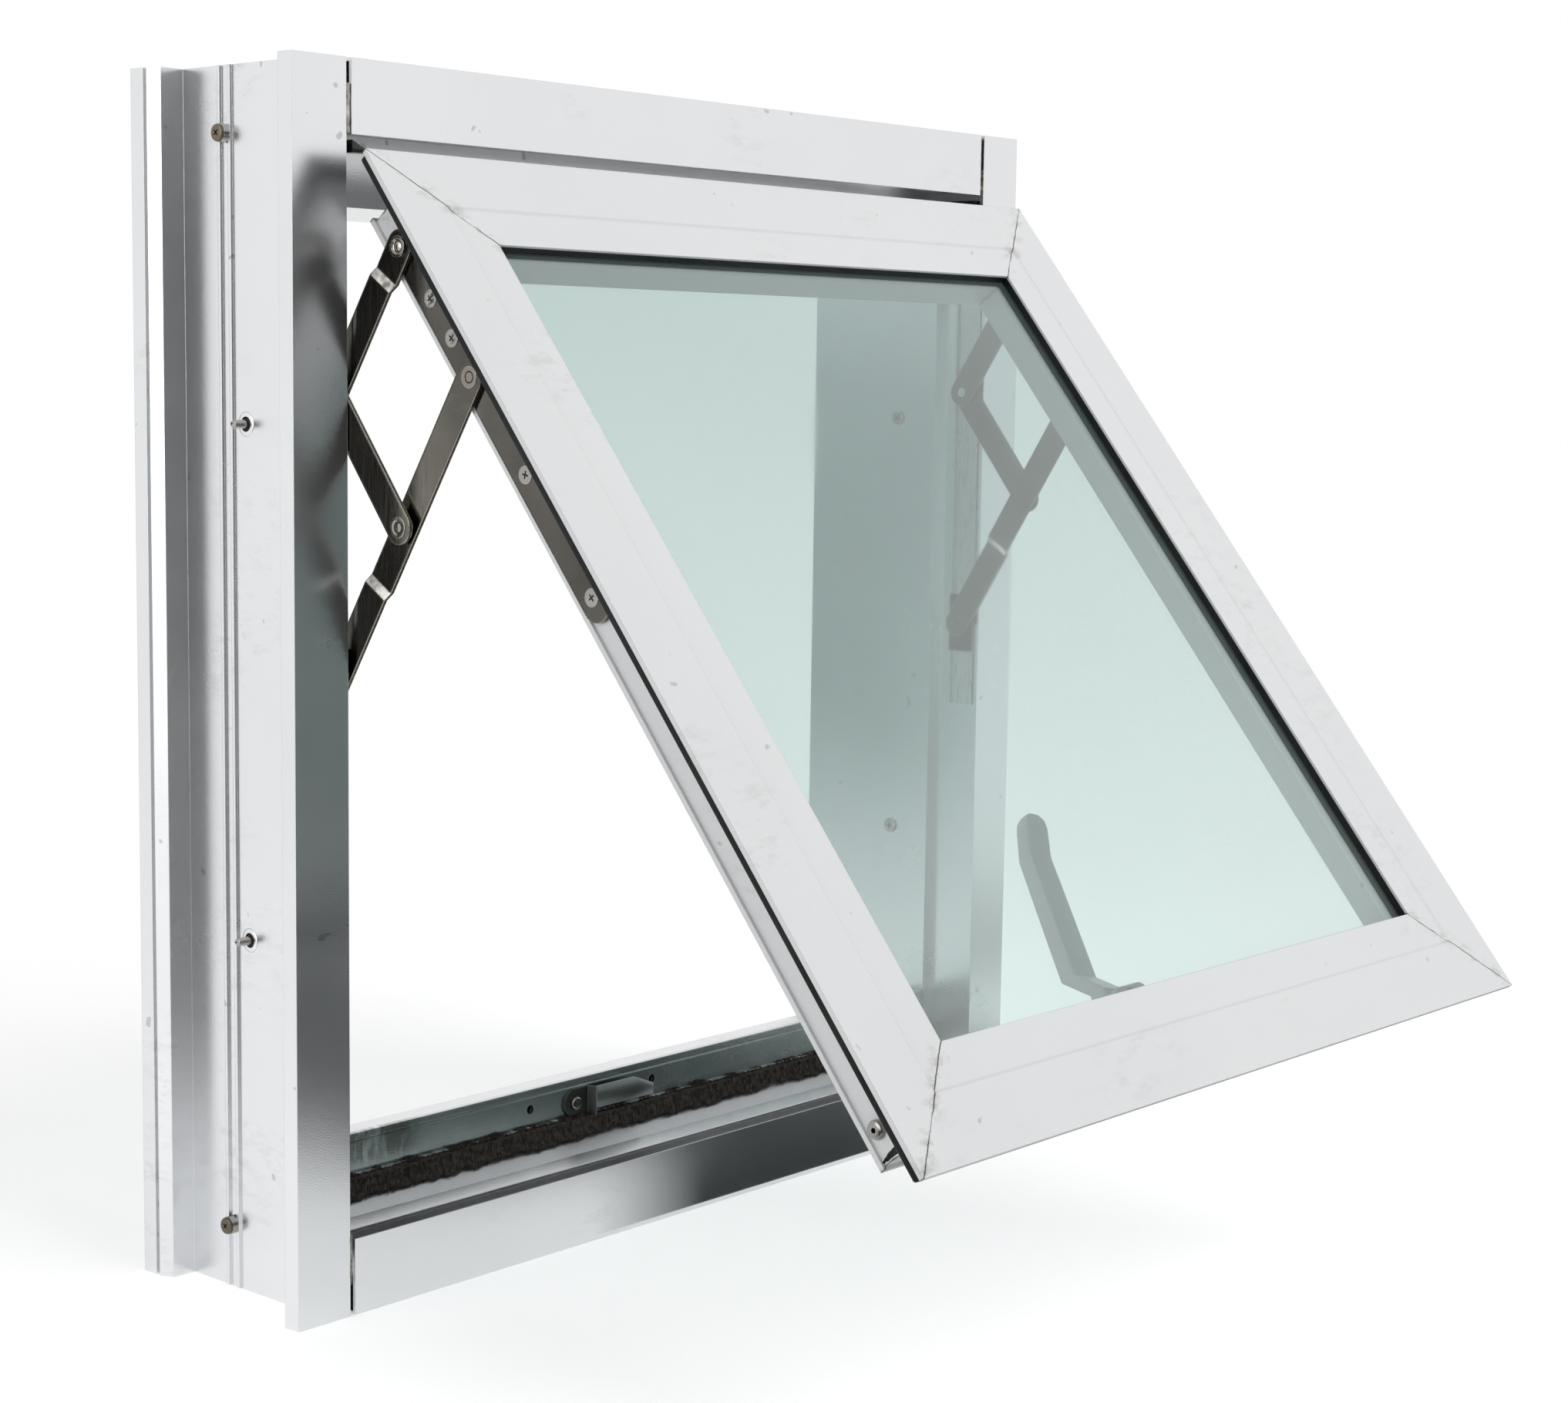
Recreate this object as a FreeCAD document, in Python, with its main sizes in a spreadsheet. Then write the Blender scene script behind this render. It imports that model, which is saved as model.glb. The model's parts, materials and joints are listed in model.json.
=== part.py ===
import FreeCAD, Part
import math
import os
import re
import Sketcher

# Top hung awning window, standing open on a pair of friction stays.
# World axes: X right seen from outside, Y into the building, Z up.
# The origin lies on the rear face of the sill, at mid width.

doc = FreeCAD.newDocument("awning_window")
V = FreeCAD.Vector

driving = [
    # outer frame
    ("frame_width", 550), ("frame_height", 600), ("frame_depth", 130),
    ("jamb_face", 32), ("head_face", 35), ("sill_face", 38),
    ("frame_wall", 1.6), ("flange_depth", 10), ("lip_thick", 2.4),
    ("web_inset", 22), ("stay_face", 28), ("rebate_depth", 35),
    ("jamb_reveal", 34), ("head_reveal", 66), ("sill_reveal", 78),
    ("rear_inset", 6), ("rear_front", 110), ("rear_bevel", 3),
    ("end_strip", 10), ("end_groove", 2.5), ("end_groove_depth", 2),
    ("screw_inset", 32), ("ridge_mid", 77), ("ridge_gap", 6), ("rib_width", 2), ("rib_height", 1.2),
    ("head_recess", 3), ("joint_gap", 1), ("mount_height", 40),
    ("fixing_depth", 63), ("fixing_low", 178), ("fixing_spacing", 252), ("fixing_bore", 6),
    # sill rebate
    ("sill_lip", 9), ("gutter_width", 2.5), ("gutter_depth", 3),
    ("slope_front", 38.5), ("crease_depth", 20), ("crease_height", 41.5),
    ("slope_rear", 47.5), ("slope_end", 30), ("upstand_depth", 14), ("sill_floor", 46),
    ("seam_drop", 3.5), ("seam_width", 1), ("seam_depth", 0.8),
    ("hole_bore", 5), ("hole_height", 67), ("hole_first", 150), ("hole_second", 243),
    ("pile_height", 9.5), ("pile_thick", 5),
    # screws that hold the corners
    ("port_wall", 1.8), ("screw_shank", 4.2), ("screw_head", 9), ("screw_head_thick", 3),
    ("screw_reach", 30),
    # keeper
    ("keeper_length", 64), ("keeper_height", 16), ("keeper_plate", 1.5), ("keeper_low", 57),
    ("keeper_stand", 6.4), ("keeper_bridge", 41), ("keeper_left", -66),
    # sash
    ("sash_edge", 25), ("sash_top", 34), ("sash_bottom", 33), ("sash_stand", 7.5),
    ("sash_depth", 31.5), ("sash_face", 53), ("sash_wall", 1.6), ("sash_flange", 2.5),
    ("body_inset", 17), ("rebate_inset", 40), ("leg_thick", 2.4),
    ("step_inset", 32), ("step_run", 1.6), ("step_drop", 1),
    ("back_lip_out", 1.6), ("back_lip_thick", 2.5), ("mitre_gap", 0.1),
    # glass and its seals
    ("glass_thick", 6), ("glass_inset", 43), ("wedge_thick", 3.6), ("wedge_inset", 48),
    ("wedge_show", 0.4), ("bead_seal", 2.5), ("bead_seal_inset", 45),
    ("bead_wall", 1.2), ("bottom_bead_extra", 3),
    ("gasket_edge", 3), ("gasket_width", 9), ("gasket_thick", 4.5),
    # friction stays
    ("stay_line", 13), ("anchor_drop", 154), ("link_length", 80), ("short_length", 78),
    ("bar_pitch", 76), ("bar_tail", 126), ("open_angle", 39), ("link_angle", 33),
    ("arm_width", 16), ("plate_thick", 1.8), ("layer_gap", 0.4), ("lip_clear", 0.6),
    ("track_base", 2), ("track_width", 18), ("track_lip", 1.2), ("track_lip_height", 3.6),
    ("track_drop", 52), ("track_length", 290), ("cap_length", 14),
    ("rivet_dia", 5), ("collar_dia", 10), ("pin_clear", 0.05), ("open_pin_clear", 0.3),
    ("joggle_run", 4), ("link_joggle", 20), ("main_joggle", 32),
    ("shoe_length", 34), ("shoe_clear", 0.4), ("shoe_side_clear", 0.8),
    # handle
    ("handle_base_width", 26), ("handle_base_low", 43), ("handle_base_height", 30),
    ("handle_base_thick", 6.4), ("handle_at", -20), ("spindle_dia", 9), ("hub_dia", 18),
    ("tongue_thick", 2), ("tongue_length", 29), ("tongue_width", 10),
    ("lever_length", 114), ("lever_width", 18), ("lever_thick", 8), ("lever_crank", 14),
    ("lever_crank_run", 15), ("lever_lean", 16), ("handle_clear", 0.4),
]

size = {alias: float(amount) for alias, amount in driving}
half = size["frame_width"] / 2
front = -size["frame_depth"]
bottom = -size["mount_height"]
top = bottom + size["frame_height"]


# Friction stays. The pins lie in a plane; the closed stay is a straight line up the jamb.

def along(angle):
    """Direction that leans out of the opening by an angle from straight down."""
    return V(0, -math.sin(math.radians(angle)), -math.cos(math.radians(angle)))


def reach_pin(centre_a, radius_a, centre_b, radius_b):
    """The lower crossing of two circles in the plane of the stay."""
    span = centre_b - centre_a
    gap = span.Length
    run = (gap * gap + radius_a ** 2 - radius_b ** 2) / (2 * gap)
    rise = math.sqrt(radius_a ** 2 - run ** 2)
    ahead = span / gap
    aside = V(0, -ahead.z, ahead.y)
    crossings = [centre_a + ahead * run + aside * rise, centre_a + ahead * run - aside * rise]
    return min(crossings, key=lambda pin: pin.z)


pin_line = front + size["stay_line"]
anchor = V(0, pin_line, top - size["anchor_drop"])
sash_dir = along(size["open_angle"])
link_dir = along(180 - size["link_angle"])
link_pin = anchor + link_dir * size["link_length"]
bar_pin = link_pin + sash_dir * size["bar_pitch"]
upper_main = size["link_length"] - size["bar_pitch"] + size["short_length"]
elbow = reach_pin(anchor, size["short_length"], bar_pin, upper_main)
main_dir = (elbow - bar_pin).normalize()
lower_main = (pin_line - elbow.y) / main_dir.y
shoe_pin = elbow + main_dir * lower_main
short_dir = (elbow - anchor).normalize()

closed_link_pin = anchor + V(0, 0, size["link_length"])
swing = FreeCAD.Rotation(V(1, 0, 0), -size["open_angle"])
to_pin = FreeCAD.Placement(-closed_link_pin, FreeCAD.Rotation())
sash_open = FreeCAD.Placement(link_pin, swing).multiply(to_pin)

sheet = doc.addObject("Spreadsheet::Sheet", "dims")
worked_out = [("main_upper", upper_main), ("main_length", upper_main + lower_main)]
for row, (alias, amount) in enumerate(driving + worked_out, start=1):
    sheet.set("A%d" % row, alias)
    sheet.set("B%d" % row, repr(amount))
    sheet.setAlias("B%d" % row, alias)
doc.recompute()


def cell(text):
    """Turn an expression in plain aliases into one that names the sheet."""
    return re.sub(r"[a-z][a-z_]+", lambda m: "dims." + m.group(0), text)


def value(text):
    return float(sheet.evalExpression(cell(text)))


def point(pair):
    return V(value(pair[0]), value(pair[1]), 0)


def new_body(label):
    body = doc.addObject("PartDesign::Body", label)
    body.Label = label
    return body


def new_sketch(body, plane):
    sketch = body.newObject("Sketcher::SketchObject", "Sketch")
    role = {"XY": "XY_Plane", "XZ": "XZ_Plane", "YZ": "YZ_Plane"}[plane]
    origin = [f for f in body.Origin.OriginFeatures if f.Role == role][0]
    sketch.AttachmentSupport = [(origin, "")]
    sketch.MapMode = "FlatFace"
    return sketch


def bind(sketch, kind, geometry, text):
    """Add a dimension whose value is an expression in the sheet."""
    index = sketch.addConstraint(Sketcher.Constraint(kind, *geometry, value(text)))
    sketch.setExpression("Constraints[%d]" % index, cell(text))


def add_loop(sketch, corners):
    """A closed outline of straight lines, each corner placed from the sheet."""
    first = sketch.GeometryCount
    count = len(corners)
    for i in range(count):
        sketch.addGeometry(Part.LineSegment(point(corners[i]), point(corners[(i + 1) % count])))
    for i in range(count):
        after = first + (i + 1) % count
        sketch.addConstraint(Sketcher.Constraint("Coincident", first + i, 2, after, 1))
    for i, (across, along) in enumerate(corners):
        bind(sketch, "DistanceX", (-1, 1, first + i, 1), across)
        bind(sketch, "DistanceY", (-1, 1, first + i, 1), along)


def add_circle(sketch, across, along, diameter):
    centre = V(value(across), value(along), 0)
    index = sketch.addGeometry(Part.Circle(centre, V(0, 0, 1), value(diameter) / 2))
    bind(sketch, "DistanceX", (-1, 1, index, 3), across)
    bind(sketch, "DistanceY", (-1, 1, index, 3), along)
    bind(sketch, "Diameter", (index,), diameter)


def add_slot(sketch, start, end, width):
    """A round-ended outline along X, from centre to centre."""
    left, right, radius = value(start), value(end), value(width) / 2
    up = V(0, 0, 1)
    first = sketch.GeometryCount
    sketch.addGeometry(Part.ArcOfCircle(Part.Circle(V(left, 0, 0), up, radius), math.pi / 2, 1.5 * math.pi))
    sketch.addGeometry(Part.ArcOfCircle(Part.Circle(V(right, 0, 0), up, radius), -math.pi / 2, math.pi / 2))
    sketch.addGeometry(Part.LineSegment(V(left, -radius, 0), V(right, -radius, 0)))
    sketch.addGeometry(Part.LineSegment(V(right, radius, 0), V(left, radius, 0)))
    for arc, end_of_arc, line, end_of_line in ((0, 2, 2, 1), (1, 1, 2, 2), (1, 2, 3, 1), (0, 1, 3, 2)):
        sketch.addConstraint(
            Sketcher.Constraint("Tangent", first + arc, end_of_arc, first + line, end_of_line))
    for arc, place in ((0, start), (1, end)):
        bind(sketch, "DistanceX", (-1, 1, first + arc, 3), place)
        sketch.addConstraint(Sketcher.Constraint("PointOnObject", first + arc, 3, -1))
    bind(sketch, "Diameter", (first,), width)


def pad(body, sketch, length, lift=None, middle=False, reverse=False):
    feature = body.newObject("PartDesign::Pad", "Pad")
    feature.Profile = sketch
    feature.setExpression("Length", cell(length))
    if middle:
        feature.SideType = "Symmetric"
    feature.Reversed = reverse
    if lift:
        sketch.setExpression("AttachmentOffset.Base.z", cell(lift))
    sketch.Visibility = False
    body.Tip = feature
    doc.recompute()
    return feature


def cut(body, sketch):
    """Cut the sketch right through the body, on both sides of its plane."""
    feature = body.newObject("PartDesign::Pocket", "Pocket")
    feature.Profile = sketch
    feature.Type = "ThroughAll"
    feature.SideType = "Symmetric"
    body.Tip = feature
    doc.recompute()
    return feature


def box_loop(x0, y0, x1, y1):
    return [(x0, y0), (x1, y0), (x1, y1), (x0, y1)]


def extrusion(label, loops, length):
    """A section in X (depth) and Y (inwards), drawn out along Z."""
    body = new_body(label)
    sketch = new_sketch(body, "XY")
    for loop in loops:
        add_loop(sketch, loop)
    pad(body, sketch, length)
    return body


def place(body, x_to, y_to, base):
    """Turn a body so that its X and Y lie along two world directions."""
    x_axis, y_axis = V(*x_to), V(*y_to)
    turn = FreeCAD.Rotation(x_axis, y_axis, x_axis.cross(y_axis), "XYZ")
    body.Placement = FreeCAD.Placement(V(*base), turn)
    return body


INTO, RIGHT, LEFT, UP, DOWN = (0, 1, 0), (1, 0, 0), (-1, 0, 0), (0, 0, 1), (0, 0, -1)


# Outer frame: four extrusions, the head and sill butted between the jambs.

def rear_edge():
    """Outside edge of the rear flange with its groove and bevel, and the ribbed web."""
    far = "ridge_mid + ridge_gap / 2"
    near = "ridge_mid - ridge_gap / 2"
    strip = "frame_depth - end_strip"
    ribs = []
    for inner, outer in ((far + " + rib_width", far), (near, near + " - rib_width")):
        ribs += [(inner, "web_inset"), (inner, "web_inset - rib_height"),
                 (outer, "web_inset - rib_height"), (outer, "web_inset")]
    return [
        ("frame_depth", "rear_inset"), (strip, "rear_inset"),
        (strip, "rear_inset + end_groove_depth"),
        (strip + " - end_groove", "rear_inset + end_groove_depth"),
        (strip + " - end_groove", "rear_inset"),
        ("rear_front", "rear_inset + rear_bevel"), ("rear_front", "web_inset"),
    ] + ribs + [("flange_depth", "web_inset"), ("flange_depth", "0")]


rear_wall = "frame_depth - frame_wall"
flange_chambers = [
    box_loop("frame_wall", "frame_wall", "flange_depth - frame_wall", "web_inset - frame_wall"),
    box_loop("rear_front + frame_wall", "rear_inset + rear_bevel + frame_wall",
             rear_wall, "web_inset - frame_wall"),
]


def main_chamber(reveal):
    return box_loop("rebate_depth + frame_wall", "web_inset + frame_wall",
                    rear_wall, reveal + " - frame_wall")



jamb_outline = [
    ("0", "0"), ("0", "jamb_face"), ("lip_thick", "jamb_face"), ("lip_thick", "stay_face"),
    ("rebate_depth", "stay_face"), ("rebate_depth", "jamb_reveal"), ("frame_depth", "jamb_reveal"),
] + rear_edge()
jamb_stay_chamber = box_loop("lip_thick + frame_wall", "web_inset + frame_wall",
                             "rebate_depth", "stay_face - frame_wall")

head_outline = [
    ("0", "0"), ("0", "head_face"), ("lip_thick", "head_face"),
    ("lip_thick", "head_face - head_recess"), ("rebate_depth", "head_face - head_recess"),
    ("rebate_depth", "head_reveal"), ("frame_depth", "head_reveal"),
] + rear_edge()
head_rebate_chamber = box_loop("lip_thick", "web_inset + frame_wall",
                               "rebate_depth", "head_face - head_recess - frame_wall")

gutter_end = "sill_lip + gutter_width"
sill_outline = [
    ("0", "0"), ("0", "sill_face"), ("sill_lip", "sill_face"),
    ("sill_lip", "sill_face - gutter_depth"), (gutter_end, "sill_face - gutter_depth"),
    (gutter_end, "slope_front"), ("crease_depth", "crease_height"),
    ("slope_end", "slope_rear"), ("rebate_depth", "slope_rear"),
    ("rebate_depth", "sill_reveal - seam_drop - seam_width"),
    ("rebate_depth + seam_depth", "sill_reveal - seam_drop - seam_width"),
    ("rebate_depth + seam_depth", "sill_reveal - seam_drop"),
    ("rebate_depth", "sill_reveal - seam_drop"), ("rebate_depth", "sill_reveal"),
    ("rebate_depth + upstand_depth", "sill_reveal"), ("rebate_depth + upstand_depth", "sill_floor"),
    ("frame_depth", "sill_floor"),
] + rear_edge()
sill_rebate_chamber = box_loop("lip_thick", "web_inset + frame_wall",
                               "rebate_depth", "sill_face - gutter_depth - frame_wall")
upstand_back = "rebate_depth + upstand_depth - frame_wall"
sill_main_chamber = [
    ("rebate_depth + frame_wall", "web_inset + frame_wall"), (rear_wall, "web_inset + frame_wall"),
    (rear_wall, "sill_floor - frame_wall"), (upstand_back, "sill_floor - frame_wall"),
    (upstand_back, "sill_reveal - frame_wall"),
    ("rebate_depth + seam_depth + frame_wall", "sill_reveal - frame_wall"),
    ("rebate_depth + seam_depth + frame_wall", "slope_rear"), ("rebate_depth + frame_wall", "slope_rear"),
]


def bore_across(body, heights, diameter, depth):
    """Round holes straight across the section, at one depth from the front."""
    sketch = new_sketch(body, "XZ")
    for height in heights:
        add_circle(sketch, depth, height, diameter)
    cut(body, sketch)


def jamb(label, side):
    chambers = [jamb_stay_chamber, main_chamber("jamb_reveal")] + flange_chambers
    body = extrusion(label, [jamb_outline] + chambers, "frame_height")
    screws = ["screw_inset", "frame_height - screw_inset"]
    fixings = ["fixing_low", "fixing_low + fixing_spacing"]
    if side < 0:
        fixings = ["frame_height - " + fixings[0], "frame_height - fixing_low - fixing_spacing"]
    bore_across(body, screws, "screw_shank", "ridge_mid")
    bore_across(body, fixings, "fixing_bore", "fixing_depth")
    if side < 0:
        return place(body, INTO, RIGHT, (-half, front, top))
    return place(body, INTO, LEFT, (half, front, bottom))


def cross_member(label, outline, chambers, y_to, base):
    """Head or sill, with the port that takes its end screws standing on the web."""
    length = "frame_width - 2 * (jamb_reveal + joint_gap)"
    body = extrusion(label, [outline] + chambers + flange_chambers, length)
    stem = new_sketch(body, "XY")
    add_loop(stem, box_loop("ridge_mid - port_wall / 2", "web_inset + frame_wall / 2",
                            "ridge_mid + port_wall / 2", "screw_inset - screw_shank / 2 - port_wall / 2"))
    pad(body, stem, length)
    port = new_sketch(body, "XY")
    add_circle(port, "ridge_mid", "screw_inset", "screw_shank + 2 * port_wall")
    add_circle(port, "ridge_mid", "screw_inset", "screw_shank")
    pad(body, port, length)
    return place(body, INTO, y_to, base)


inner_end = half - size["jamb_reveal"] - size["joint_gap"]
jamb("left_jamb", -1)
jamb("right_jamb", 1)
cross_member("head", head_outline, [head_rebate_chamber, main_chamber("head_reveal")],
             DOWN, (inner_end, front, top))
sill = cross_member("sill", sill_outline, [sill_rebate_chamber, sill_main_chamber],
                    UP, (-inner_end, front, bottom))
upstand_holes = new_sketch(sill, "YZ")
for at in ("hole_first", "hole_second"):
    add_circle(upstand_holes, "hole_height", at, "hole_bore")
cut(sill, upstand_holes)


def strip(label, outline, length, x_to, y_to, base):
    return place(extrusion(label, [outline], length), x_to, y_to, base)


pile_outline = box_loop("rebate_depth - pile_thick", "slope_rear",
                        "rebate_depth", "slope_rear + pile_height")
strip("pile_strip", pile_outline, "frame_width - 2 * (jamb_reveal + joint_gap)",
      INTO, UP, (-inner_end, front, bottom))


def fuse(label, pieces):
    """Like pieces that do not touch, kept together as one node."""
    node = doc.addObject("Part::Compound", label)
    node.Label = label
    node.Links = pieces
    return node


def screw(name, head_dia, head_thick, shank_dia, reach, x_to, y_to, base):
    """A screw along its own Z, the underside of its head at zero."""
    body = new_body(name)
    shank = new_sketch(body, "XY")
    add_circle(shank, "0", "0", shank_dia)
    pad(body, shank, reach)
    head = new_sketch(body, "XY")
    add_circle(head, "0", "0", head_dia)
    pad(body, head, head_thick, reverse=True)
    return place(body, x_to, y_to, base)


screw_level = (top - size["screw_inset"], bottom + size["screw_inset"])
screw_depth = front + size["ridge_mid"]
frame_screws = []
for side in (-1, 1):
    for level in screw_level:
        seat = side * (half - size["web_inset"] + size["rib_height"])
        frame_screws.append(screw("frame_screw", "screw_head", "screw_head_thick", "screw_shank",
                                  "screw_reach", INTO, UP if side < 0 else DOWN,
                                  (seat, screw_depth, level)))
fuse("corner_screws", frame_screws)

# Keeper on the front of the sill upstand: a plate that rises into a hook for the tongue.
keeper = new_body("keeper")
keeper_side = new_sketch(keeper, "XY")
hook_foot = "keeper_length - keeper_bridge - keeper_stand"
add_loop(keeper_side, [
    ("0", "0"), (hook_foot + " + keeper_plate", "0"),
    ("keeper_length - keeper_bridge + keeper_plate / 2", "keeper_stand - keeper_plate"),
    ("keeper_length", "keeper_stand - keeper_plate"), ("keeper_length", "keeper_stand"),
    ("keeper_length - keeper_bridge", "keeper_stand"),
    (hook_foot, "keeper_plate"), ("0", "keeper_plate")])
pad(keeper, keeper_side, "keeper_height", middle=True)
round_end = new_sketch(keeper, "XZ")
add_loop(round_end, box_loop("-keeper_height", "-keeper_height",
                             "keeper_length + 2 * keeper_height", "keeper_height"))
add_slot(round_end, "keeper_height / 2", "keeper_length + keeper_height / 2", "keeper_height")
cut(keeper, round_end)
place(keeper, RIGHT, (0, -1, 0),
      (size["keeper_left"], front + size["rebate_depth"],
       bottom + size["keeper_low"] + size["keeper_height"] / 2))


# Friction stays, left and right alike.

layer = ["jamb_face + lip_clear + %d * (plate_thick + layer_gap)" % i for i in range(4)]


def lift(level):
    """Height of a level above the face that the track is screwed to."""
    return "(%s) - stay_face" % level


def set_on_stay(body, side, direction, pin):
    """Lay a piece on the stay: its X along the arm, its Z towards the sash."""
    sideways = V(-side, 0, 0)
    turn = FreeCAD.Rotation(direction, sideways.cross(direction), sideways, "XYZ")
    body.Placement = FreeCAD.Placement(V(side * (half - size["stay_face"]), pin.y, pin.z), turn)
    return body


def disc(body, across, diameter, low, height):
    sketch = new_sketch(body, "XY")
    add_circle(sketch, across, "0", diameter)
    pad(body, sketch, height, lift=low)


def arm(label, pins, holes, steps):
    """A flat arm with round ends. holes are (place, clearance) pairs, steps (distance, level) pairs."""
    body = new_body(label)
    start, end = pins
    profile = new_sketch(body, "XZ")
    under = [("%s - arm_width / 2" % start, lift(steps[0][1]))]
    for (far_at, level), (_, before) in zip(steps[1:], steps):
        under += [(far_at, lift(before)), (far_at + " + joggle_run", lift(level))]
    under.append(("%s + arm_width / 2" % end, lift(steps[-1][1])))
    over = [(at, height + " + plate_thick") for at, height in reversed(under)]
    add_loop(profile, under + over)
    pad(body, profile, "arm_width", middle=True)
    plan = new_sketch(body, "XY")
    add_loop(plan, box_loop("%s - arm_width" % start, "-arm_width", "%s + arm_width" % end, "arm_width"))
    add_slot(plan, start, end, "arm_width")
    for hole, clear in holes:
        add_circle(plan, hole, "0", "rivet_dia + 2 * " + clear)
    cut(body, plan)
    return body


def track(label, side):
    body = new_body(label)
    section = new_sketch(body, "YZ")
    edge = "track_width / 2"
    add_loop(section, [
        ("-track_width / 2", "0"), (edge, "0"), (edge, "track_lip_height"),
        (edge + " - track_lip", "track_lip_height"), (edge + " - track_lip", "track_base"),
        ("track_lip - track_width / 2", "track_base"),
        ("track_lip - track_width / 2", "track_lip_height"), ("-track_width / 2", "track_lip_height")])
    pad(body, section, "track_length")
    at = "track_drop + track_length - anchor_drop"
    disc(body, at, "collar_dia", "track_base", lift(layer[0]) + " - track_base - layer_gap / 2")
    disc(body, at, "rivet_dia", "track_base", lift(layer[1]) + " + plate_thick - track_base")
    foot = top - size["track_drop"] - size["track_length"]
    return set_on_stay(body, side, V(0, 0, 1), V(0, pin_line, foot))


def end_cap(label, side):
    body = new_body(label)
    wedge = new_sketch(body, "XZ")
    add_loop(wedge, [("0", "0"), ("cap_length", "0"), ("cap_length", lift(layer[1])),
                     ("cap_length / 2", lift(layer[1])), ("0", "track_lip_height")])
    pad(body, wedge, "track_width", middle=True)
    return set_on_stay(body, side, V(0, 0, 1), V(0, pin_line, top - size["track_drop"]))


def shoe(label, side):
    body = new_body(label)
    block = new_sketch(body, "XY")
    half_width = "(track_width / 2 - track_lip - shoe_side_clear)"
    add_loop(block, box_loop("-shoe_length / 2", "-" + half_width, "shoe_length / 2", half_width))
    pad(body, block, lift(layer[1]) + " - layer_gap - track_base - shoe_clear",
        lift="track_base + shoe_clear")
    disc(body, "0", "rivet_dia", "track_base + shoe_clear",
         lift(layer[1]) + " + plate_thick - track_base - shoe_clear")
    return set_on_stay(body, side, V(0, 0, 1), shoe_pin)


def main_arm(label, side):
    body = arm(label, ("0", "main_length"), (("0", "open_pin_clear"), ("main_length", "pin_clear")),
               [("0", layer[2]), ("main_upper + main_joggle", layer[1])])
    disc(body, "main_upper", "rivet_dia", lift(layer[0]), lift(layer[2]) + " - (%s)" % lift(layer[0]))
    disc(body, "main_upper", "collar_dia", lift(layer[0]) + " + plate_thick + layer_gap / 2",
         "plate_thick + 1.5 * layer_gap")
    return set_on_stay(body, side, main_dir, bar_pin)


def sash_bar(label, side):
    body = new_body(label)
    plan = new_sketch(body, "XY")
    add_slot(plan, "0", "bar_pitch + bar_tail", "arm_width")
    pad(body, plan, "sash_edge + body_inset - (%s)" % layer[3], lift=lift(layer[3]))
    for at in ("0", "bar_pitch"):
        disc(body, at, "rivet_dia", lift(layer[2]), "plate_thick + layer_gap")
    return set_on_stay(body, side, sash_dir, link_pin)


for name, side in (("left", -1), ("right", 1)):
    track(name + "_stay_track", side)
    end_cap(name + "_track_cap", side)
    shoe(name + "_shoe", side)
    main_arm(name + "_main_arm", side)
    sash_bar(name + "_sash_bar", side)
    short = arm(name + "_short_arm", ("0", "short_length"),
                (("0", "pin_clear"), ("short_length", "pin_clear")), [("0", layer[0])])
    set_on_stay(short, side, short_dir, anchor)
    link = arm(name + "_top_link", ("0", "link_length"), (("0", "pin_clear"), ("link_length", "pin_clear")),
               [("0", layer[1]), ("link_length - link_joggle", layer[2])])
    set_on_stay(link, side, link_dir, anchor)


# Sash: four mitred extrusions. Each piece is set out closed, then carried to the open pose.

sash_left = -half + size["sash_edge"]
sash_high = top - size["sash_top"]
sash_low = bottom + size["sash_bottom"]
sash_front = front - size["sash_stand"]
sash_width = "(frame_width - 2 * sash_edge)"
sash_height = "(frame_height - sash_top - sash_bottom)"


def on_sash(body):
    body.Placement = sash_open.multiply(body.Placement)
    return body


sash_outline = [
    ("0", "0"), ("0", "step_inset"), ("step_drop", "step_inset + step_run"), ("step_drop", "sash_face"),
    ("leg_thick", "sash_face"), ("leg_thick", "rebate_inset"), ("sash_depth", "rebate_inset"),
    ("sash_depth", "body_inset - back_lip_out"),
    ("sash_depth - back_lip_thick", "body_inset - back_lip_out"),
    ("sash_depth - back_lip_thick", "body_inset"),
    ("sash_flange", "body_inset"), ("sash_flange", "0")]
sash_chamber = box_loop("step_drop + sash_wall", "body_inset + sash_wall",
                        "sash_depth - sash_wall", "rebate_inset - sash_wall")


def sash_member(label, length, y_to, base):
    body = extrusion(label, [sash_outline, sash_chamber], length)
    mitre = new_sketch(body, "YZ")
    reach = "2 * sash_face"
    add_loop(mitre, [("-sash_face", "mitre_gap - sash_face"), (reach, "-sash_face"),
                     (reach, reach + " + mitre_gap")])
    add_loop(mitre, [("-sash_face", length + " - mitre_gap + sash_face"), (reach, length + " + sash_face"),
                     (reach, length + " - mitre_gap - " + reach)])
    cut(body, mitre)
    return on_sash(place(body, INTO, y_to, base))


sash_member("sash_left_stile", sash_height, RIGHT, (sash_left, sash_front, sash_high))
sash_member("sash_right_stile", sash_height, LEFT, (-sash_left, sash_front, sash_low))
sash_member("sash_top_rail", sash_width, DOWN, (-sash_left, sash_front, sash_high))
sash_member("sash_bottom_rail", sash_width, UP, (sash_left, sash_front, sash_low))


def pane(label, inset, depth, thick, hole=None):
    """A flat rectangle, or a ring of it, parallel to the face of the sash."""
    body = new_body(label)
    sketch = new_sketch(body, "XY")
    for edge in [inset] + ([hole] if hole else []):
        add_loop(sketch, box_loop(edge, edge, "%s - (%s)" % (sash_width, edge),
                                  "%s - (%s)" % (sash_height, edge)))
    pad(body, sketch, thick, lift="-(%s) - (%s)" % (depth, thick))
    return on_sash(place(body, RIGHT, UP, (sash_left, sash_front, sash_low)))


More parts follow.
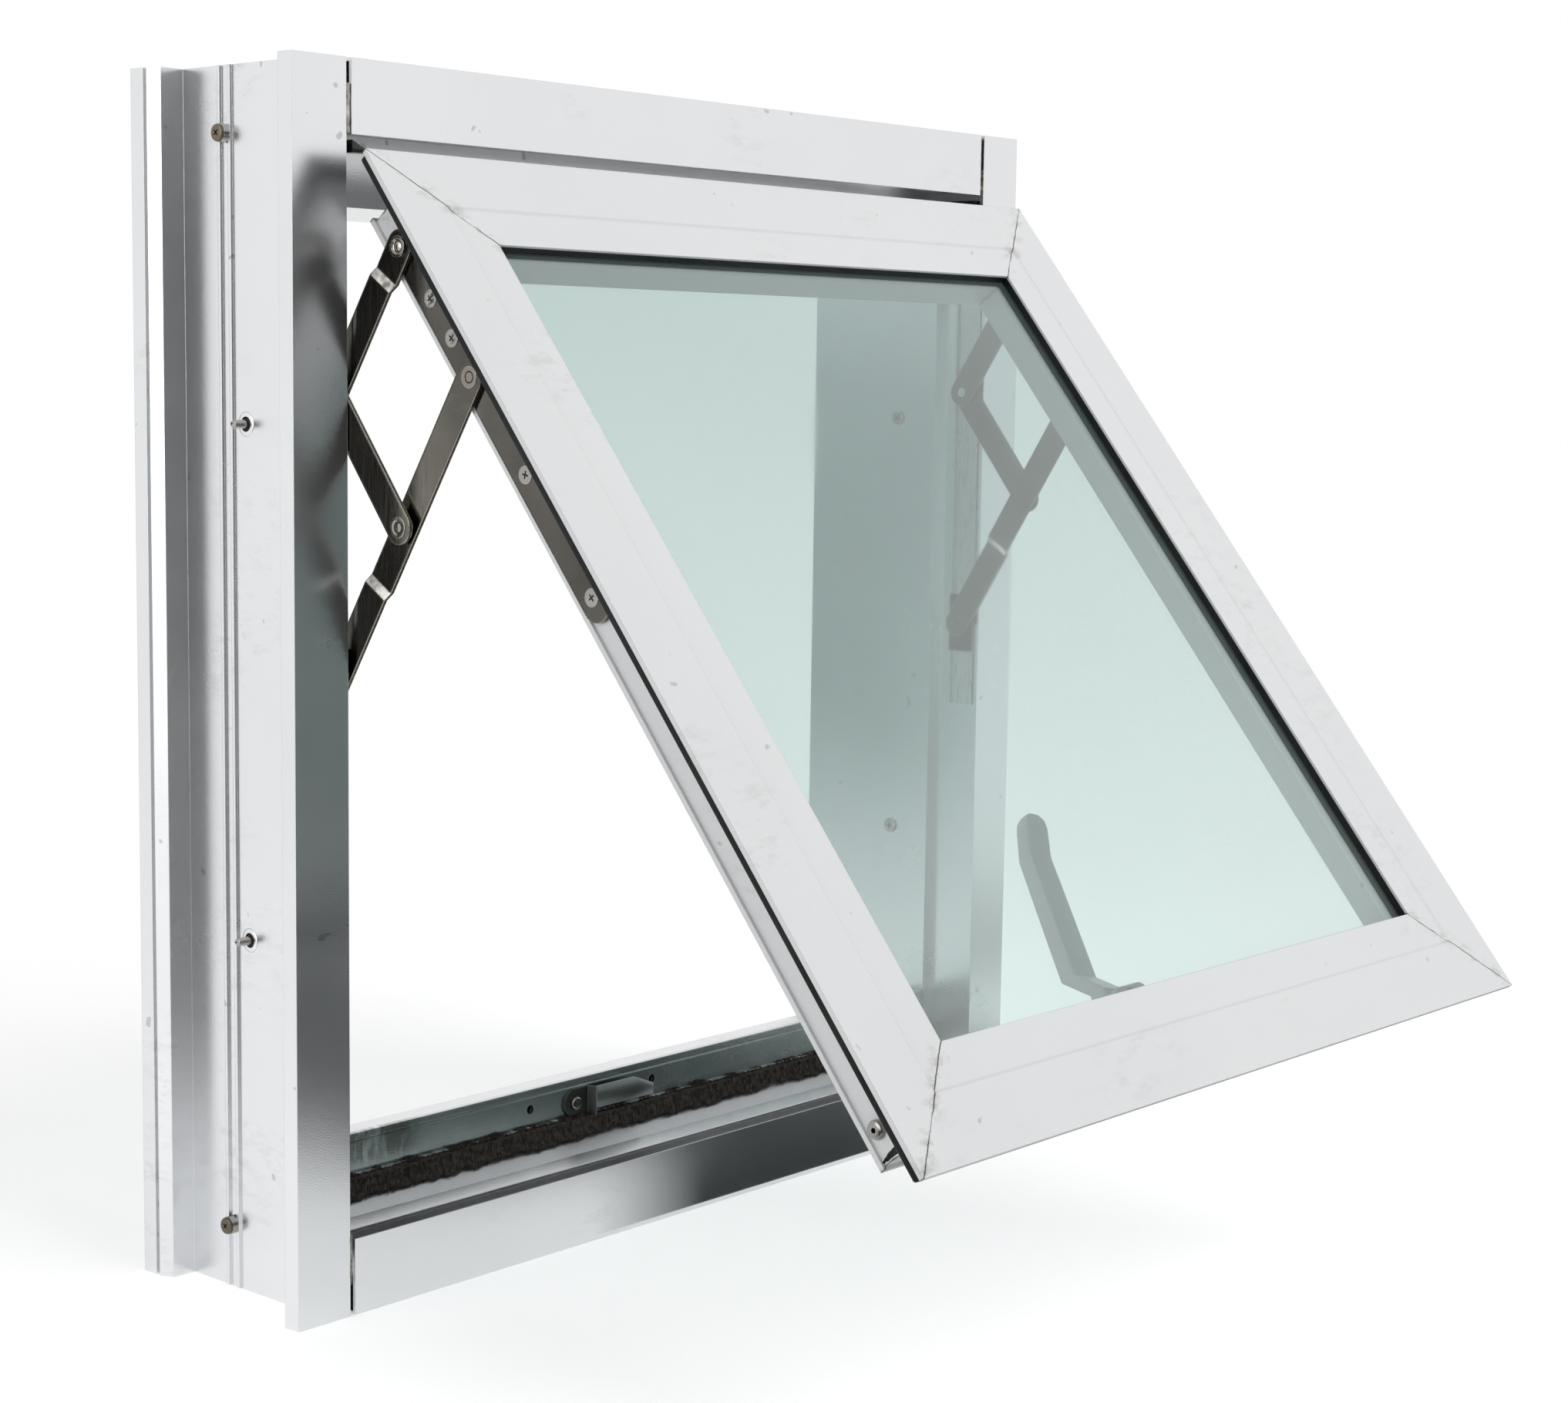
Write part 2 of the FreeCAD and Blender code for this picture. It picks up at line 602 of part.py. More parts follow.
glass_front = "leg_thick + wedge_thick"
bead_front = "leg_thick + wedge_thick + glass_thick + bead_seal"
pane("glass_pane", "glass_inset", glass_front, "glass_thick")
pane("outer_glazing_seal", "wedge_inset", "leg_thick", "wedge_thick", "sash_face + wedge_show")
pane("inner_glazing_seal", "bead_seal_inset", glass_front + " + glass_thick", "bead_seal", "sash_face")
pane("weather_gasket", "gasket_edge", "sash_flange", "gasket_thick", "gasket_edge + gasket_width")


def bead(label, inner, length, y_to, base):
    loops = [box_loop(bead_front, "rebate_inset", "sash_depth", inner),
             box_loop(bead_front + " + bead_wall", "rebate_inset + bead_wall",
                      "sash_depth - bead_wall", "(%s) - bead_wall" % inner)]
    return on_sash(place(extrusion(label, loops, length), INTO, y_to, base))


rebate = size["rebate_inset"]
bead_inner = "sash_face"
bottom_bead_inner = "sash_face + bottom_bead_extra"
across = sash_width + " - 2 * rebate_inset"
upright = sash_height + " - (%s) - (%s)" % (bead_inner, bottom_bead_inner)
bead("top_bead", bead_inner, across, DOWN, (-sash_left - rebate, sash_front, sash_high))
bead("bottom_bead", bottom_bead_inner, across, UP, (sash_left + rebate, sash_front, sash_low))
bead("left_bead", bead_inner, upright, RIGHT, (sash_left, sash_front, sash_high - value(bead_inner)))
bead("right_bead", bead_inner, upright, LEFT, (-sash_left, sash_front, sash_low + value(bottom_bead_inner)))

# Handle: a base on the bottom bead, and a lever with a tongue turning on it.
base_back = "sash_depth + handle_base_thick"
pivot_up = "handle_base_low + handle_base_height / 2"
base_plate = new_body("handle_base")
plate_outline = new_sketch(base_plate, "XY")
add_slot(plate_outline, "-(handle_base_height - handle_base_width) / 2",
         "(handle_base_height - handle_base_width) / 2", "handle_base_width")
add_circle(plate_outline, "0", "0", "spindle_dia + 2 * pin_clear")
pad(base_plate, plate_outline, "handle_base_thick", lift="sash_depth")
pivot = (size["handle_at"], sash_front, sash_low + value(pivot_up))
on_sash(place(base_plate, UP, RIGHT, pivot))

lever = new_body("handle_lever")
tongue_front = base_back + " + handle_clear"
lever_front = tongue_front + " + tongue_thick"
crank_end = "hub_dia / 2 + lever_crank_run"
side_view = new_sketch(lever, "XZ")
raised = "(%s) + lever_crank" % lever_front
add_loop(side_view, [
    ("-lever_width / 2", lever_front), ("hub_dia / 2", lever_front),
    (crank_end, raised), ("lever_length", raised),
    ("lever_length", raised + " + lever_thick"), (crank_end, raised + " + lever_thick"),
    ("hub_dia / 2", lever_front + " + lever_thick"), ("-lever_width / 2", lever_front + " + lever_thick")])
pad(lever, side_view, "lever_width", middle=True)
plan_view = new_sketch(lever, "XY")
add_loop(plan_view, box_loop("-hub_dia", "-hub_dia", "lever_length + hub_dia", "hub_dia"))
add_slot(plan_view, "0", "lever_length - lever_width / 2", "lever_width")
cut(lever, plan_view)
disc(lever, "0", "hub_dia", tongue_front, "tongue_thick + lever_thick")
disc(lever, "0", "spindle_dia", "sash_depth", "handle_base_thick + handle_clear")
tongue = new_sketch(lever, "XY")
add_loop(tongue, box_loop("-tongue_width / 2", "0", "tongue_width / 2", "tongue_length"))
pad(lever, tongue, "tongue_thick", lift=tongue_front)
lean = math.radians(size["lever_lean"])
on_sash(place(lever, (math.sin(lean), 0, math.cos(lean)), (math.cos(lean), 0, -math.sin(lean)), pivot))

# Check every feature, then write one file for each piece.
doc.recompute()
for item in doc.Objects:
    if "Invalid" in item.State or "Error" in item.State:
        raise RuntimeError("%s did not build: %s" % (item.Label, item.State))

os.makedirs("parts", exist_ok=True)
for piece in doc.Objects:
    if piece.TypeId not in ("PartDesign::Body", "Part::Compound") or piece.InList:
        continue
    if piece.Shape.isNull() or not piece.Shape.isValid():
        raise RuntimeError("%s has no valid shape" % piece.Label)
    piece.Shape.exportStep("parts/%s.step" % piece.Label)
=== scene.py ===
import bpy, json, math, random
from mathutils import Matrix, Vector


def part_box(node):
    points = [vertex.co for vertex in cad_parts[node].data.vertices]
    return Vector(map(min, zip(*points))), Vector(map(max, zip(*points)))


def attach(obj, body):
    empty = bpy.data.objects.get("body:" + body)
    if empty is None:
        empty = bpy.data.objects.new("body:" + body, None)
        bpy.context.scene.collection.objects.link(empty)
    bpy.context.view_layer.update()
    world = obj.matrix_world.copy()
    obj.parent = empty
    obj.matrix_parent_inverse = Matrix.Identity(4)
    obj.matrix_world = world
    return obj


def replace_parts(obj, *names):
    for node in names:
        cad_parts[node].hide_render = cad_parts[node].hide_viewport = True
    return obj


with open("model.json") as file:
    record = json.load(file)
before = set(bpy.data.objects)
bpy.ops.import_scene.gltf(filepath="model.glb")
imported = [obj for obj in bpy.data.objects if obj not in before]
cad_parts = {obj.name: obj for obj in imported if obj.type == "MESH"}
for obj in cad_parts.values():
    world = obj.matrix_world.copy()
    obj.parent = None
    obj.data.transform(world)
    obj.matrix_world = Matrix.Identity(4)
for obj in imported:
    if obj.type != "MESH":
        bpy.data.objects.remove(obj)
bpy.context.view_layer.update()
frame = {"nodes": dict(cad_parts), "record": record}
nodes = frame["nodes"]
scene = bpy.context.scene
random.seed(11)
hair = 1e-6       # slack for picking by place
squareOn = 0.9    # how squarely a face has to look along an axis to be picked


# helpers for selecting and for shader nodes

def deselectAll():
    if bpy.context.object and bpy.context.object.mode != "OBJECT":
        bpy.ops.object.mode_set(mode="OBJECT")
    bpy.ops.object.select_all(action="DESELECT")


def makeGroup(name, inputs, outputs):
    group = bpy.data.node_groups.new(name, "ShaderNodeTree")
    for label, kind, start in inputs:
        socket = group.interface.new_socket(name=label, in_out="INPUT", socket_type=kind)
        socket.default_value = start
    for label, kind in outputs:
        group.interface.new_socket(name=label, in_out="OUTPUT", socket_type=kind)
    return group, group.nodes.new("NodeGroupInput"), group.nodes.new("NodeGroupOutput")


def mathNode(tree, operation, a, b=None, clamp=False):
    node = tree.nodes.new("ShaderNodeMath")
    node.operation, node.use_clamp = operation, clamp
    for index, source in enumerate((a, b)):
        if source is None:
            continue
        if isinstance(source, (int, float)):
            node.inputs[index].default_value = source
        else:
            tree.links.new(source, node.inputs[index])
    return node.outputs[0]


def mixColour(tree, factor, first, second):
    node = tree.nodes.new("ShaderNodeMix")
    node.data_type = "RGBA"
    for socket, source in ((node.inputs[0], factor), (node.inputs[6], first), (node.inputs[7], second)):
        if isinstance(source, tuple):
            socket.default_value = (*source, 1)
        elif isinstance(source, (int, float)):
            socket.default_value = source
        else:
            tree.links.new(source, socket)
    return node.outputs[2]


def spread(tree, source, low, high, newLow=0.0, newHigh=1.0):
    node = tree.nodes.new("ShaderNodeMapRange")
    tree.links.new(source, node.inputs[0])
    for index, amount in enumerate((low, high, newLow, newHigh), start=1):
        node.inputs[index].default_value = amount
    return node.outputs[0]


def noise(tree, vector, scale, detail=3.0, rough=0.55):
    node = tree.nodes.new("ShaderNodeTexNoise")
    tree.links.new(vector, node.inputs["Vector"])
    node.inputs["Scale"].default_value = scale
    node.inputs["Detail"].default_value = detail
    node.inputs["Roughness"].default_value = rough
    return node.outputs["Fac"]


def mapped(tree, vector, scale=(1, 1, 1), turn=(0, 0, 0), shift=(0, 0, 0)):
    node = tree.nodes.new("ShaderNodeMapping")
    tree.links.new(vector, node.inputs[0])
    node.inputs["Location"].default_value = shift
    node.inputs["Rotation"].default_value = turn
    node.inputs["Scale"].default_value = scale
    return node.outputs[0]


def bumped(tree, height, strength, distance, edge=0.0):
    node = tree.nodes.new("ShaderNodeBump")
    if edge:
        soft = tree.nodes.new("ShaderNodeBevel")
        soft.samples = 4
        soft.inputs["Radius"].default_value = edge
        tree.links.new(soft.outputs[0], node.inputs["Normal"])
    tree.links.new(height, node.inputs["Height"])
    node.inputs["Strength"].default_value = strength
    node.inputs["Distance"].default_value = distance
    return node.outputs[0]


def newMaterial(name):
    material = bpy.data.materials.new(name)
    material.use_nodes = True
    tree = material.node_tree
    where = tree.nodes.new("ShaderNodeTexCoord").outputs["Object"]
    return material, tree, tree.nodes["Principled BSDF"], where


# stage, light and camera

stage = dict(floorSize=30, floorLevel=-0.0402, floorColour=(0.9, 0.9, 0.9), floorRough=0.9, floorShine=0.1,
             lift=0.52, whiteFrom=0.45, whiteBy=1.3, ambient=0.3)

bpy.ops.object.select_all(action="DESELECT")
bpy.ops.mesh.primitive_plane_add(size=stage["floorSize"], location=(0, 0, stage["floorLevel"]))
floor = bpy.context.object
floor.name = "studioFloor"
floorPaint, tree, shader, where = newMaterial("paleFloor")
shader.inputs["Base Color"].default_value = (*stage["floorColour"], 1)
shader.inputs["Roughness"].default_value = stage["floorRough"]
shader.inputs["Specular IOR Level"].default_value = stage["floorShine"]
rays = tree.nodes.new("ShaderNodeLightPath")
seen = mathNode(tree, "MAXIMUM", rays.outputs["Is Camera Ray"], rays.outputs["Is Transmission Ray"])
seen = mathNode(tree, "MAXIMUM", seen, rays.outputs["Is Glossy Ray"])
reach = tree.nodes.new("ShaderNodeVectorMath")
reach.operation = "LENGTH"
tree.links.new(where, reach.inputs[0])
away = spread(tree, reach.outputs["Value"], stage["whiteFrom"], stage["whiteBy"])
glow, plainWhite = tree.nodes.new("ShaderNodeEmission"), tree.nodes.new("ShaderNodeEmission")
tree.links.new(mathNode(tree, "MULTIPLY", seen, stage["lift"]), glow.inputs["Strength"])
both, fade = tree.nodes.new("ShaderNodeAddShader"), tree.nodes.new("ShaderNodeMixShader")
tree.links.new(shader.outputs[0], both.inputs[0])
tree.links.new(glow.outputs[0], both.inputs[1])
tree.links.new(mathNode(tree, "MULTIPLY", seen, away), fade.inputs[0])
tree.links.new(both.outputs[0], fade.inputs[1])
tree.links.new(plainWhite.outputs[0], fade.inputs[2])
tree.links.new(fade.outputs[0], tree.nodes["Material Output"].inputs[0])
floor.data.materials.append(floorPaint)

# cards seen only in reflections or through the glass: painted dark reflections and a painted teal reflection,
# so that metal and glass have something to show
cardLook = dict(rough=0.9, edge=0.5, flat=0.33)


def mixCardPaint(name, tone, allRound=False, lean=0.0, soft=0.2):
    material, tree, shader, where = newMaterial(name)
    shader.inputs["Base Color"].default_value = (*tone, 1)
    shader.inputs["Roughness"].default_value = cardLook["rough"]
    shader.inputs["Specular IOR Level"].default_value = 0.0
    rays, split = tree.nodes.new("ShaderNodeLightPath"), tree.nodes.new("ShaderNodeSeparateXYZ")
    tree.links.new(where, split.inputs[0])
    shift = mathNode(tree, "MULTIPLY", mathNode(tree, "SUBTRACT", split.outputs["Y"], cardLook["edge"]), lean)
    along = mathNode(tree, "ADD", split.outputs["X"], shift)
    softEnds = spread(tree, mathNode(tree, "ABSOLUTE", along), cardLook["edge"], cardLook["flat"])
    if allRound:
        across = spread(tree, mathNode(tree, "ABSOLUTE", split.outputs["Y"]), cardLook["edge"], soft)
        softEnds = mathNode(tree, "MULTIPLY", softEnds, across)
    mirrored = mathNode(tree, "MINIMUM", rays.outputs["Glossy Depth"], 1.0)
    clear, fade = tree.nodes.new("ShaderNodeBsdfTransparent"), tree.nodes.new("ShaderNodeMixShader")
    tree.links.new(mathNode(tree, "MULTIPLY", mirrored, softEnds), fade.inputs[0])
    tree.links.new(clear.outputs[0], fade.inputs[1])
    tree.links.new(shader.outputs[0], fade.inputs[2])
    tree.links.new(fade.outputs[0], tree.nodes["Material Output"].inputs[0])
    return material


cardBlack = mixCardPaint("cardBlack", (0.004, 0.006, 0.006))
cardSoft = mixCardPaint("cardSoft", (0.004, 0.006, 0.006), allRound=True)
cardTeal = mixCardPaint("cardTeal", (0.48, 0.72, 0.68), allRound=True)
cardSlate = mixCardPaint("cardSlate", (0.034, 0.046, 0.045), lean=0.317)
cardSlateLong = mixCardPaint("cardSlateLong", (0.02, 0.03, 0.029))
cardLow = mixCardPaint("cardLow", (0.006, 0.011, 0.0105), allRound=True, soft=0.41)
cards = [
    dict(name="frontCard", paint=cardBlack, at=(0.56, -0.86, 0.80), size=(1.9, 2.0),
         turn=(90, 0, 48), throughGlass=True),
    dict(name="lowCard", paint=cardLow, at=(0.32, -0.770, -0.034), size=(1.16, 0.90)),
    dict(name="sillCard", paint=cardSlate, at=(0.178, -0.2110, -0.038), size=(0.51, 0.160)),
    dict(name="upstandCard", paint=cardSlateLong, at=(0.12, -0.3000, -0.037), size=(0.48, 0.130)),
    dict(name="innerCard", paint=cardTeal, at=(-0.10, 0.30, 0.27), size=(0.5, 0.62), turn=(90, 0, 90)),
    dict(name="leftCard", paint=cardBlack, at=(-1.35, -1.45, 0.42), size=(1.9, 1.1), turn=(90, 0, -46)),
    dict(name="leftLowCard", paint=cardSoft, at=(-0.86, -0.72, -0.036), size=(1.1, 1.2)),
]
for card in cards:
    deselectAll()
    bpy.ops.mesh.primitive_plane_add(size=1, location=card["at"],
                                     rotation=[math.radians(angle) for angle in card.get("turn", (0, 0, 0))])
    studioCard, throughGlass = bpy.context.object, card.get("throughGlass", False)
    studioCard.name = card["name"]
    studioCard.scale = (*card["size"], 1)
    studioCard.visible_camera = studioCard.visible_diffuse = studioCard.visible_shadow = False
    studioCard.visible_glossy, studioCard.visible_transmission = not throughGlass, throughGlass
    studioCard.data.materials.append(card["paint"])

world = bpy.data.worlds.new("studioSky")
world.use_nodes = True
scene.world = world
tree = world.node_tree
rays = tree.nodes.new("ShaderNodeLightPath")
seen = mathNode(tree, "MAXIMUM", rays.outputs["Is Camera Ray"], rays.outputs["Is Transmission Ray"])
seen = mathNode(tree, "MAXIMUM", seen, rays.outputs["Is Glossy Ray"])
tree.links.new(spread(tree, seen, 0, 1, stage["ambient"], 1.0), tree.nodes["Background"].inputs["Strength"])
tree.nodes["Background"].inputs["Color"].default_value = (1, 1, 1, 1)

lamps = [
    dict(name="keyLamp", at=(0.5, -2.3, 2.4), aim=(0, -0.2, 0.25), size=2.4, power=57, inReflections=False),
    dict(name="sideLamp", at=(-2.6, -0.1, 0.9), aim=(-0.2, -0.05, 0.25), size=1.6, power=17,
         inReflections=True),
]
for lamp in lamps:
    data = bpy.data.lights.new(lamp["name"], "AREA")
    data.shape, data.size, data.energy = "SQUARE", lamp["size"], lamp["power"]
    light = bpy.data.objects.new(lamp["name"], data)
    light.location = lamp["at"]
    light.visible_glossy = lamp["inReflections"]
    light.rotation_euler = (Vector(lamp["aim"]) - Vector(lamp["at"])).to_track_quat("-Z", "Y").to_euler()
    scene.collection.objects.link(light)

view = dict(lens=63.99, sensor=36, at=(-1.09368, -1.14734, 0.41530), yaw=48.8435, pitch=6.6003, roll=0.8386)
cameraData = bpy.data.cameras.new("photoCamera")
cameraData.sensor_fit, cameraData.sensor_width, cameraData.lens = "HORIZONTAL", view["sensor"], view["lens"]
camera = bpy.data.objects.new("photoCamera", cameraData)
turn = (Matrix.Rotation(math.radians(-view["yaw"]), 4, "Z")
        @ Matrix.Rotation(math.radians(90 - view["pitch"]), 4, "X")
        @ Matrix.Rotation(math.radians(view["roll"]), 4, "Z"))
camera.matrix_world = Matrix.Translation(view["at"]) @ turn
scene.collection.objects.link(camera)
scene.camera = camera
scene.view_settings.view_transform = "Standard"
print("stage, lamps and camera set")


# finishes

grainLook = dict(slow=7, fine=1400)
grimeLook = dict(patch=9, patchFrom=0.52, patchBy=0.7, streak=(60, 60, 160), streakFrom=0.5, streakBy=0.75,
                 speck=110, speckFrom=0.765, speckBy=0.80)


def makeSatinGrain():
    # fine anodised tooth and a slow drift of tone
    group, source, result = makeGroup(
        "satinGrain",
        [("Vector", "NodeSocketVector", (0, 0, 0)), ("Drift", "NodeSocketFloat", 1.0)],
        [("Tone", "NodeSocketFloat"), ("Height", "NodeSocketFloat")])
    slow = noise(group, source.outputs["Vector"], grainLook["slow"], 4)
    fine = noise(group, source.outputs["Vector"], grainLook["fine"], 2)
    tone = mathNode(group, "MULTIPLY", mathNode(group, "SUBTRACT", slow, 0.5), source.outputs["Drift"])
    group.links.new(mathNode(group, "ADD", tone, 0.5, clamp=True), result.inputs["Tone"])
    group.links.new(fine, result.inputs["Height"])
    return group


def makeHandGrime():
    # patchy smears and small dark specks
    group, source, result = makeGroup(
        "handGrime",
        [("Vector", "NodeSocketVector", (0, 0, 0)), ("Amount", "NodeSocketFloat", 0.5)],
        [("Smear", "NodeSocketFloat"), ("Speck", "NodeSocketFloat")])
    vector = source.outputs["Vector"]
    patches = spread(group, noise(group, vector, grimeLook["patch"], 2),
                     grimeLook["patchFrom"], grimeLook["patchBy"])
    streaks = spread(group, noise(group, mapped(group, vector, grimeLook["streak"]), 1.0, 4, 0.7),
                     grimeLook["streakFrom"], grimeLook["streakBy"])
    smear = mathNode(group, "MULTIPLY", patches, streaks)
    group.links.new(mathNode(group, "MULTIPLY", smear, source.outputs["Amount"], clamp=True),
                    result.inputs["Smear"])
    speckField = spread(group, noise(group, vector, grimeLook["speck"], 1),
                        grimeLook["speckFrom"], grimeLook["speckBy"])
    group.links.new(mathNode(group, "MULTIPLY", speckField, source.outputs["Amount"], clamp=True),
                    result.inputs["Speck"])
    return group


# the sash at rest: the foot of its front face, its own directions and its sizes
sash = dict(foot=Vector((0, -0.48676, 0.10286)), up=Vector((0, 0.62932, 0.777146)),
            inward=Vector((0, 0.777146, -0.62932)), half=0.250, tall=0.533, step=0.0325)


def onSash(x, up, deep):
    return sash["foot"] + sash["up"] * up + sash["inward"] * deep + Vector((x, 0, 0))


# the step line is painted shadow; the dirt and cracks are real marks
mitreLook = dict(wander=160, ragged=0.0007, crackWide=0.0007, crackSharp=0.0002, gaps=40, stepShadowWide=0.0009,
                 stepShadowSharp=0.0003, smear=(60, 90, 120), dirtReach=0.011,
                 marks=(("Line", 0.13, (0.40, 0.40, 0.41)), ("Dirt", 0.9, (0.38, 0.36, 0.32)),
                        ("Crack", 0.9, (0.06, 0.055, 0.05))))


def makeMitreWear():
    # open mitres, a painted shadow line along the face step and dirt rubbed in round the corners
    group, source, result = makeGroup(
        "mitreWear", [("Vector", "NodeSocketVector", (0, 0, 0))],
        [("Crack", "NodeSocketFloat"), ("Line", "NodeSocketFloat"), ("Dirt", "NodeSocketFloat")])
    vector = source.outputs["Vector"]
    split, shifted, along = (group.nodes.new(kind) for kind in (
        "ShaderNodeSeparateXYZ", "ShaderNodeVectorMath", "ShaderNodeVectorMath"))
    group.links.new(vector, split.inputs[0])
    group.links.new(vector, shifted.inputs[0])
    group.links.new(shifted.outputs[0], along.inputs[0])
    shifted.operation, along.operation = "SUBTRACT", "DOT_PRODUCT"
    shifted.inputs[1].default_value, along.inputs[1].default_value = sash["foot"], sash["up"]
    rise = along.outputs["Value"]
    side = mathNode(group, "SUBTRACT", sash["half"], mathNode(group, "ABSOLUTE", split.outputs["X"]))
    edge = mathNode(group, "MINIMUM", rise, mathNode(group, "SUBTRACT", sash["tall"], rise))
    miss = mathNode(group, "SUBTRACT", side, edge)
    wander = spread(group, noise(group, vector, mitreLook["wander"], 3), 0.2, 0.8,
                    -mitreLook["ragged"], mitreLook["ragged"])
    ragged = mathNode(group, "ABSOLUTE", mathNode(group, "ADD", miss, wander))
    broken = spread(group, noise(group, vector, mitreLook["gaps"], 2), 0.36, 0.5, 0.25, 1.0)
    crack = mathNode(group, "MULTIPLY", spread(group, ragged, mitreLook["crackWide"], mitreLook["crackSharp"]),
                     broken)
    group.links.new(crack, result.inputs["Crack"])
    near = mathNode(group, "MINIMUM", side, edge)
    line = mathNode(group, "ABSOLUTE", mathNode(group, "SUBTRACT", near, sash["step"]))
    group.links.new(spread(group, line, mitreLook["stepShadowWide"], mitreLook["stepShadowSharp"]), result.inputs["Line"])
    smears = spread(group, noise(group, mapped(group, vector, mitreLook["smear"]), 1.0, 4, 0.72), 0.5, 0.72)
    close = spread(group, mathNode(group, "ABSOLUTE", miss), mitreLook["dirtReach"], 0.0)
    group.links.new(mathNode(group, "MULTIPLY", smears, close), result.inputs["Dirt"])
    return group


# each place is an axis, a middle, how far it is full and where it ends
sillFace = ("Y", -0.095, 0.002, 0.004)
# the dark teal tone mixed over the whole upstand face is painted shade; the runs at its left end are real dirt
sillLook = dict(runs=(190, 1, 45), stain=(0.07, 0.067, 0.06), stainBy=0.6, dustFilmAndShade=(0.36, 0.43, 0.42), shadeCloud=40,
                stainAt=(("X", -0.196, 0.018, 0.032), sillFace, ("Z", 0.031, 0.006, 0.012)),
                paintedShadeAt=(("X", 0.0, 0.242, 0.250), sillFace, ("Z", 0.026, 0.011, 0.0125)))


def makeSillStainAndShade():
    # runs of old dirt on the upstand at the left end of the sill, and painted shade, a dark teal grey, all
    # along its face
    group, source, result = makeGroup("sillStainAndShade", [("Vector", "NodeSocketVector", (0, 0, 0))],
                                      [("Stain", "NodeSocketFloat"), ("PaintedShade", "NodeSocketFloat")])
    vector = source.outputs["Vector"]
    split = group.nodes.new("ShaderNodeSeparateXYZ")
    group.links.new(vector, split.inputs[0])
    runs = spread(group, noise(group, mapped(group, vector, sillLook["runs"]), 1.0, 4, 0.7), 0.38, 0.52)
    shadeCloud = spread(group, noise(group, vector, sillLook["shadeCloud"], 4), 0.2, 0.5, 0.8, 1.0)
    for label, mask, places in (("Stain", runs, sillLook["stainAt"]), ("PaintedShade", shadeCloud, sillLook["paintedShadeAt"])):
        for axis, middle, flat, end in places:
            away = mathNode(group, "ABSOLUTE", mathNode(group, "SUBTRACT", split.outputs[axis], middle))
            mask = mathNode(group, "MULTIPLY", mask, spread(group, away, end, flat))
        group.links.new(mask, result.inputs[label])
    return group


satinGrain, handGrime = makeSatinGrain(), makeHandGrime()
mitreWear, sillStainAndShade = makeMitreWear(), makeSillStainAndShade()


def placeGroup(tree, group, vector=None, **values):
    node = tree.nodes.new("ShaderNodeGroup")
    node.node_tree = group
    if vector:
        tree.links.new(vector, node.inputs["Vector"])
    for label, amount in values.items():
        node.inputs[label].default_value = amount
    return node.outputs


satinLook = dict(swing=0.06, smearRough=0.2, deep=0.0004, edge=0.0005)


def satinMetal(name, look):
    material, tree, shader, where = newMaterial(name)
    grain = placeGroup(tree, satinGrain, where, Drift=look["drift"])
    grime = placeGroup(tree, handGrime, where, Amount=look["grime"])
    base = mixColour(tree, grain["Tone"], look["dark"], look["light"])
    base = mixColour(tree, grime["Smear"], base, look["dirt"])
    base = mixColour(tree, grime["Speck"], base, look["speck"])
    if look["sash"]:
        wear = placeGroup(tree, mitreWear, where)
        for label, strength, colour in mitreLook["marks"]:
            base = mixColour(tree, mathNode(tree, "MULTIPLY", wear[label], strength), base, colour)
    else:
        onSill = placeGroup(tree, sillStainAndShade, where)
        # painted shade: the upstand face is darkened to a teal grey along its whole length
        base = mixColour(tree, onSill["PaintedShade"], base, sillLook["dustFilmAndShade"])
        stained = mathNode(tree, "MULTIPLY", onSill["Stain"], sillLook["stainBy"])
        base = mixColour(tree, stained, base, sillLook["stain"])
    tree.links.new(base, shader.inputs["Base Color"])
    swing = satinLook["swing"]
    plainRough = spread(tree, grain["Tone"], 0, 1, look["rough"] - swing, look["rough"] + swing)
    smearRough = mathNode(tree, "MULTIPLY", grime["Smear"], satinLook["smearRough"])
    tree.links.new(mathNode(tree, "ADD", plainRough, smearRough), shader.inputs["Roughness"])
    tree.links.new(bumped(tree, grain["Height"], look["tooth"], satinLook["deep"], satinLook["edge"]),
                   shader.inputs["Normal"])
    shader.inputs["Metallic"].default_value = look["metal"]
    return material


frameLook = dict(dark=(0.74, 0.75, 0.765), light=(0.82, 0.83, 0.84), dirt=(0.30, 0.29, 0.27),
                 speck=(0.12, 0.11, 0.10), drift=1.2, grime=0.35, rough=0.25, tooth=0.12, metal=0.95,
                 sash=False)
sashLook = dict(dark=(0.76, 0.77, 0.78), light=(0.82, 0.83, 0.835), dirt=(0.36, 0.35, 0.33),
                speck=(0.2, 0.18, 0.16), drift=1.2, grime=0.35, rough=0.5, tooth=0.1, metal=0.15,
                sash=True)
satinAluminium = satinMetal("satinAluminium", frameLook)
sashAluminium = satinMetal("sashAluminium", sashLook)


edgeHighlightLook = dict(samples=4, softFrom=0.97, sharpBy=0.8)
bendGlintLook = dict(flat=(0.985, 0.95), edgeOn=(0.35, 0.5), patch=130)
drawnLook = dict(drift=2.4, lines=(1, 900, 60), smoother=0.08, rougher=0.1, tooth=0.06, deep=0.0003)


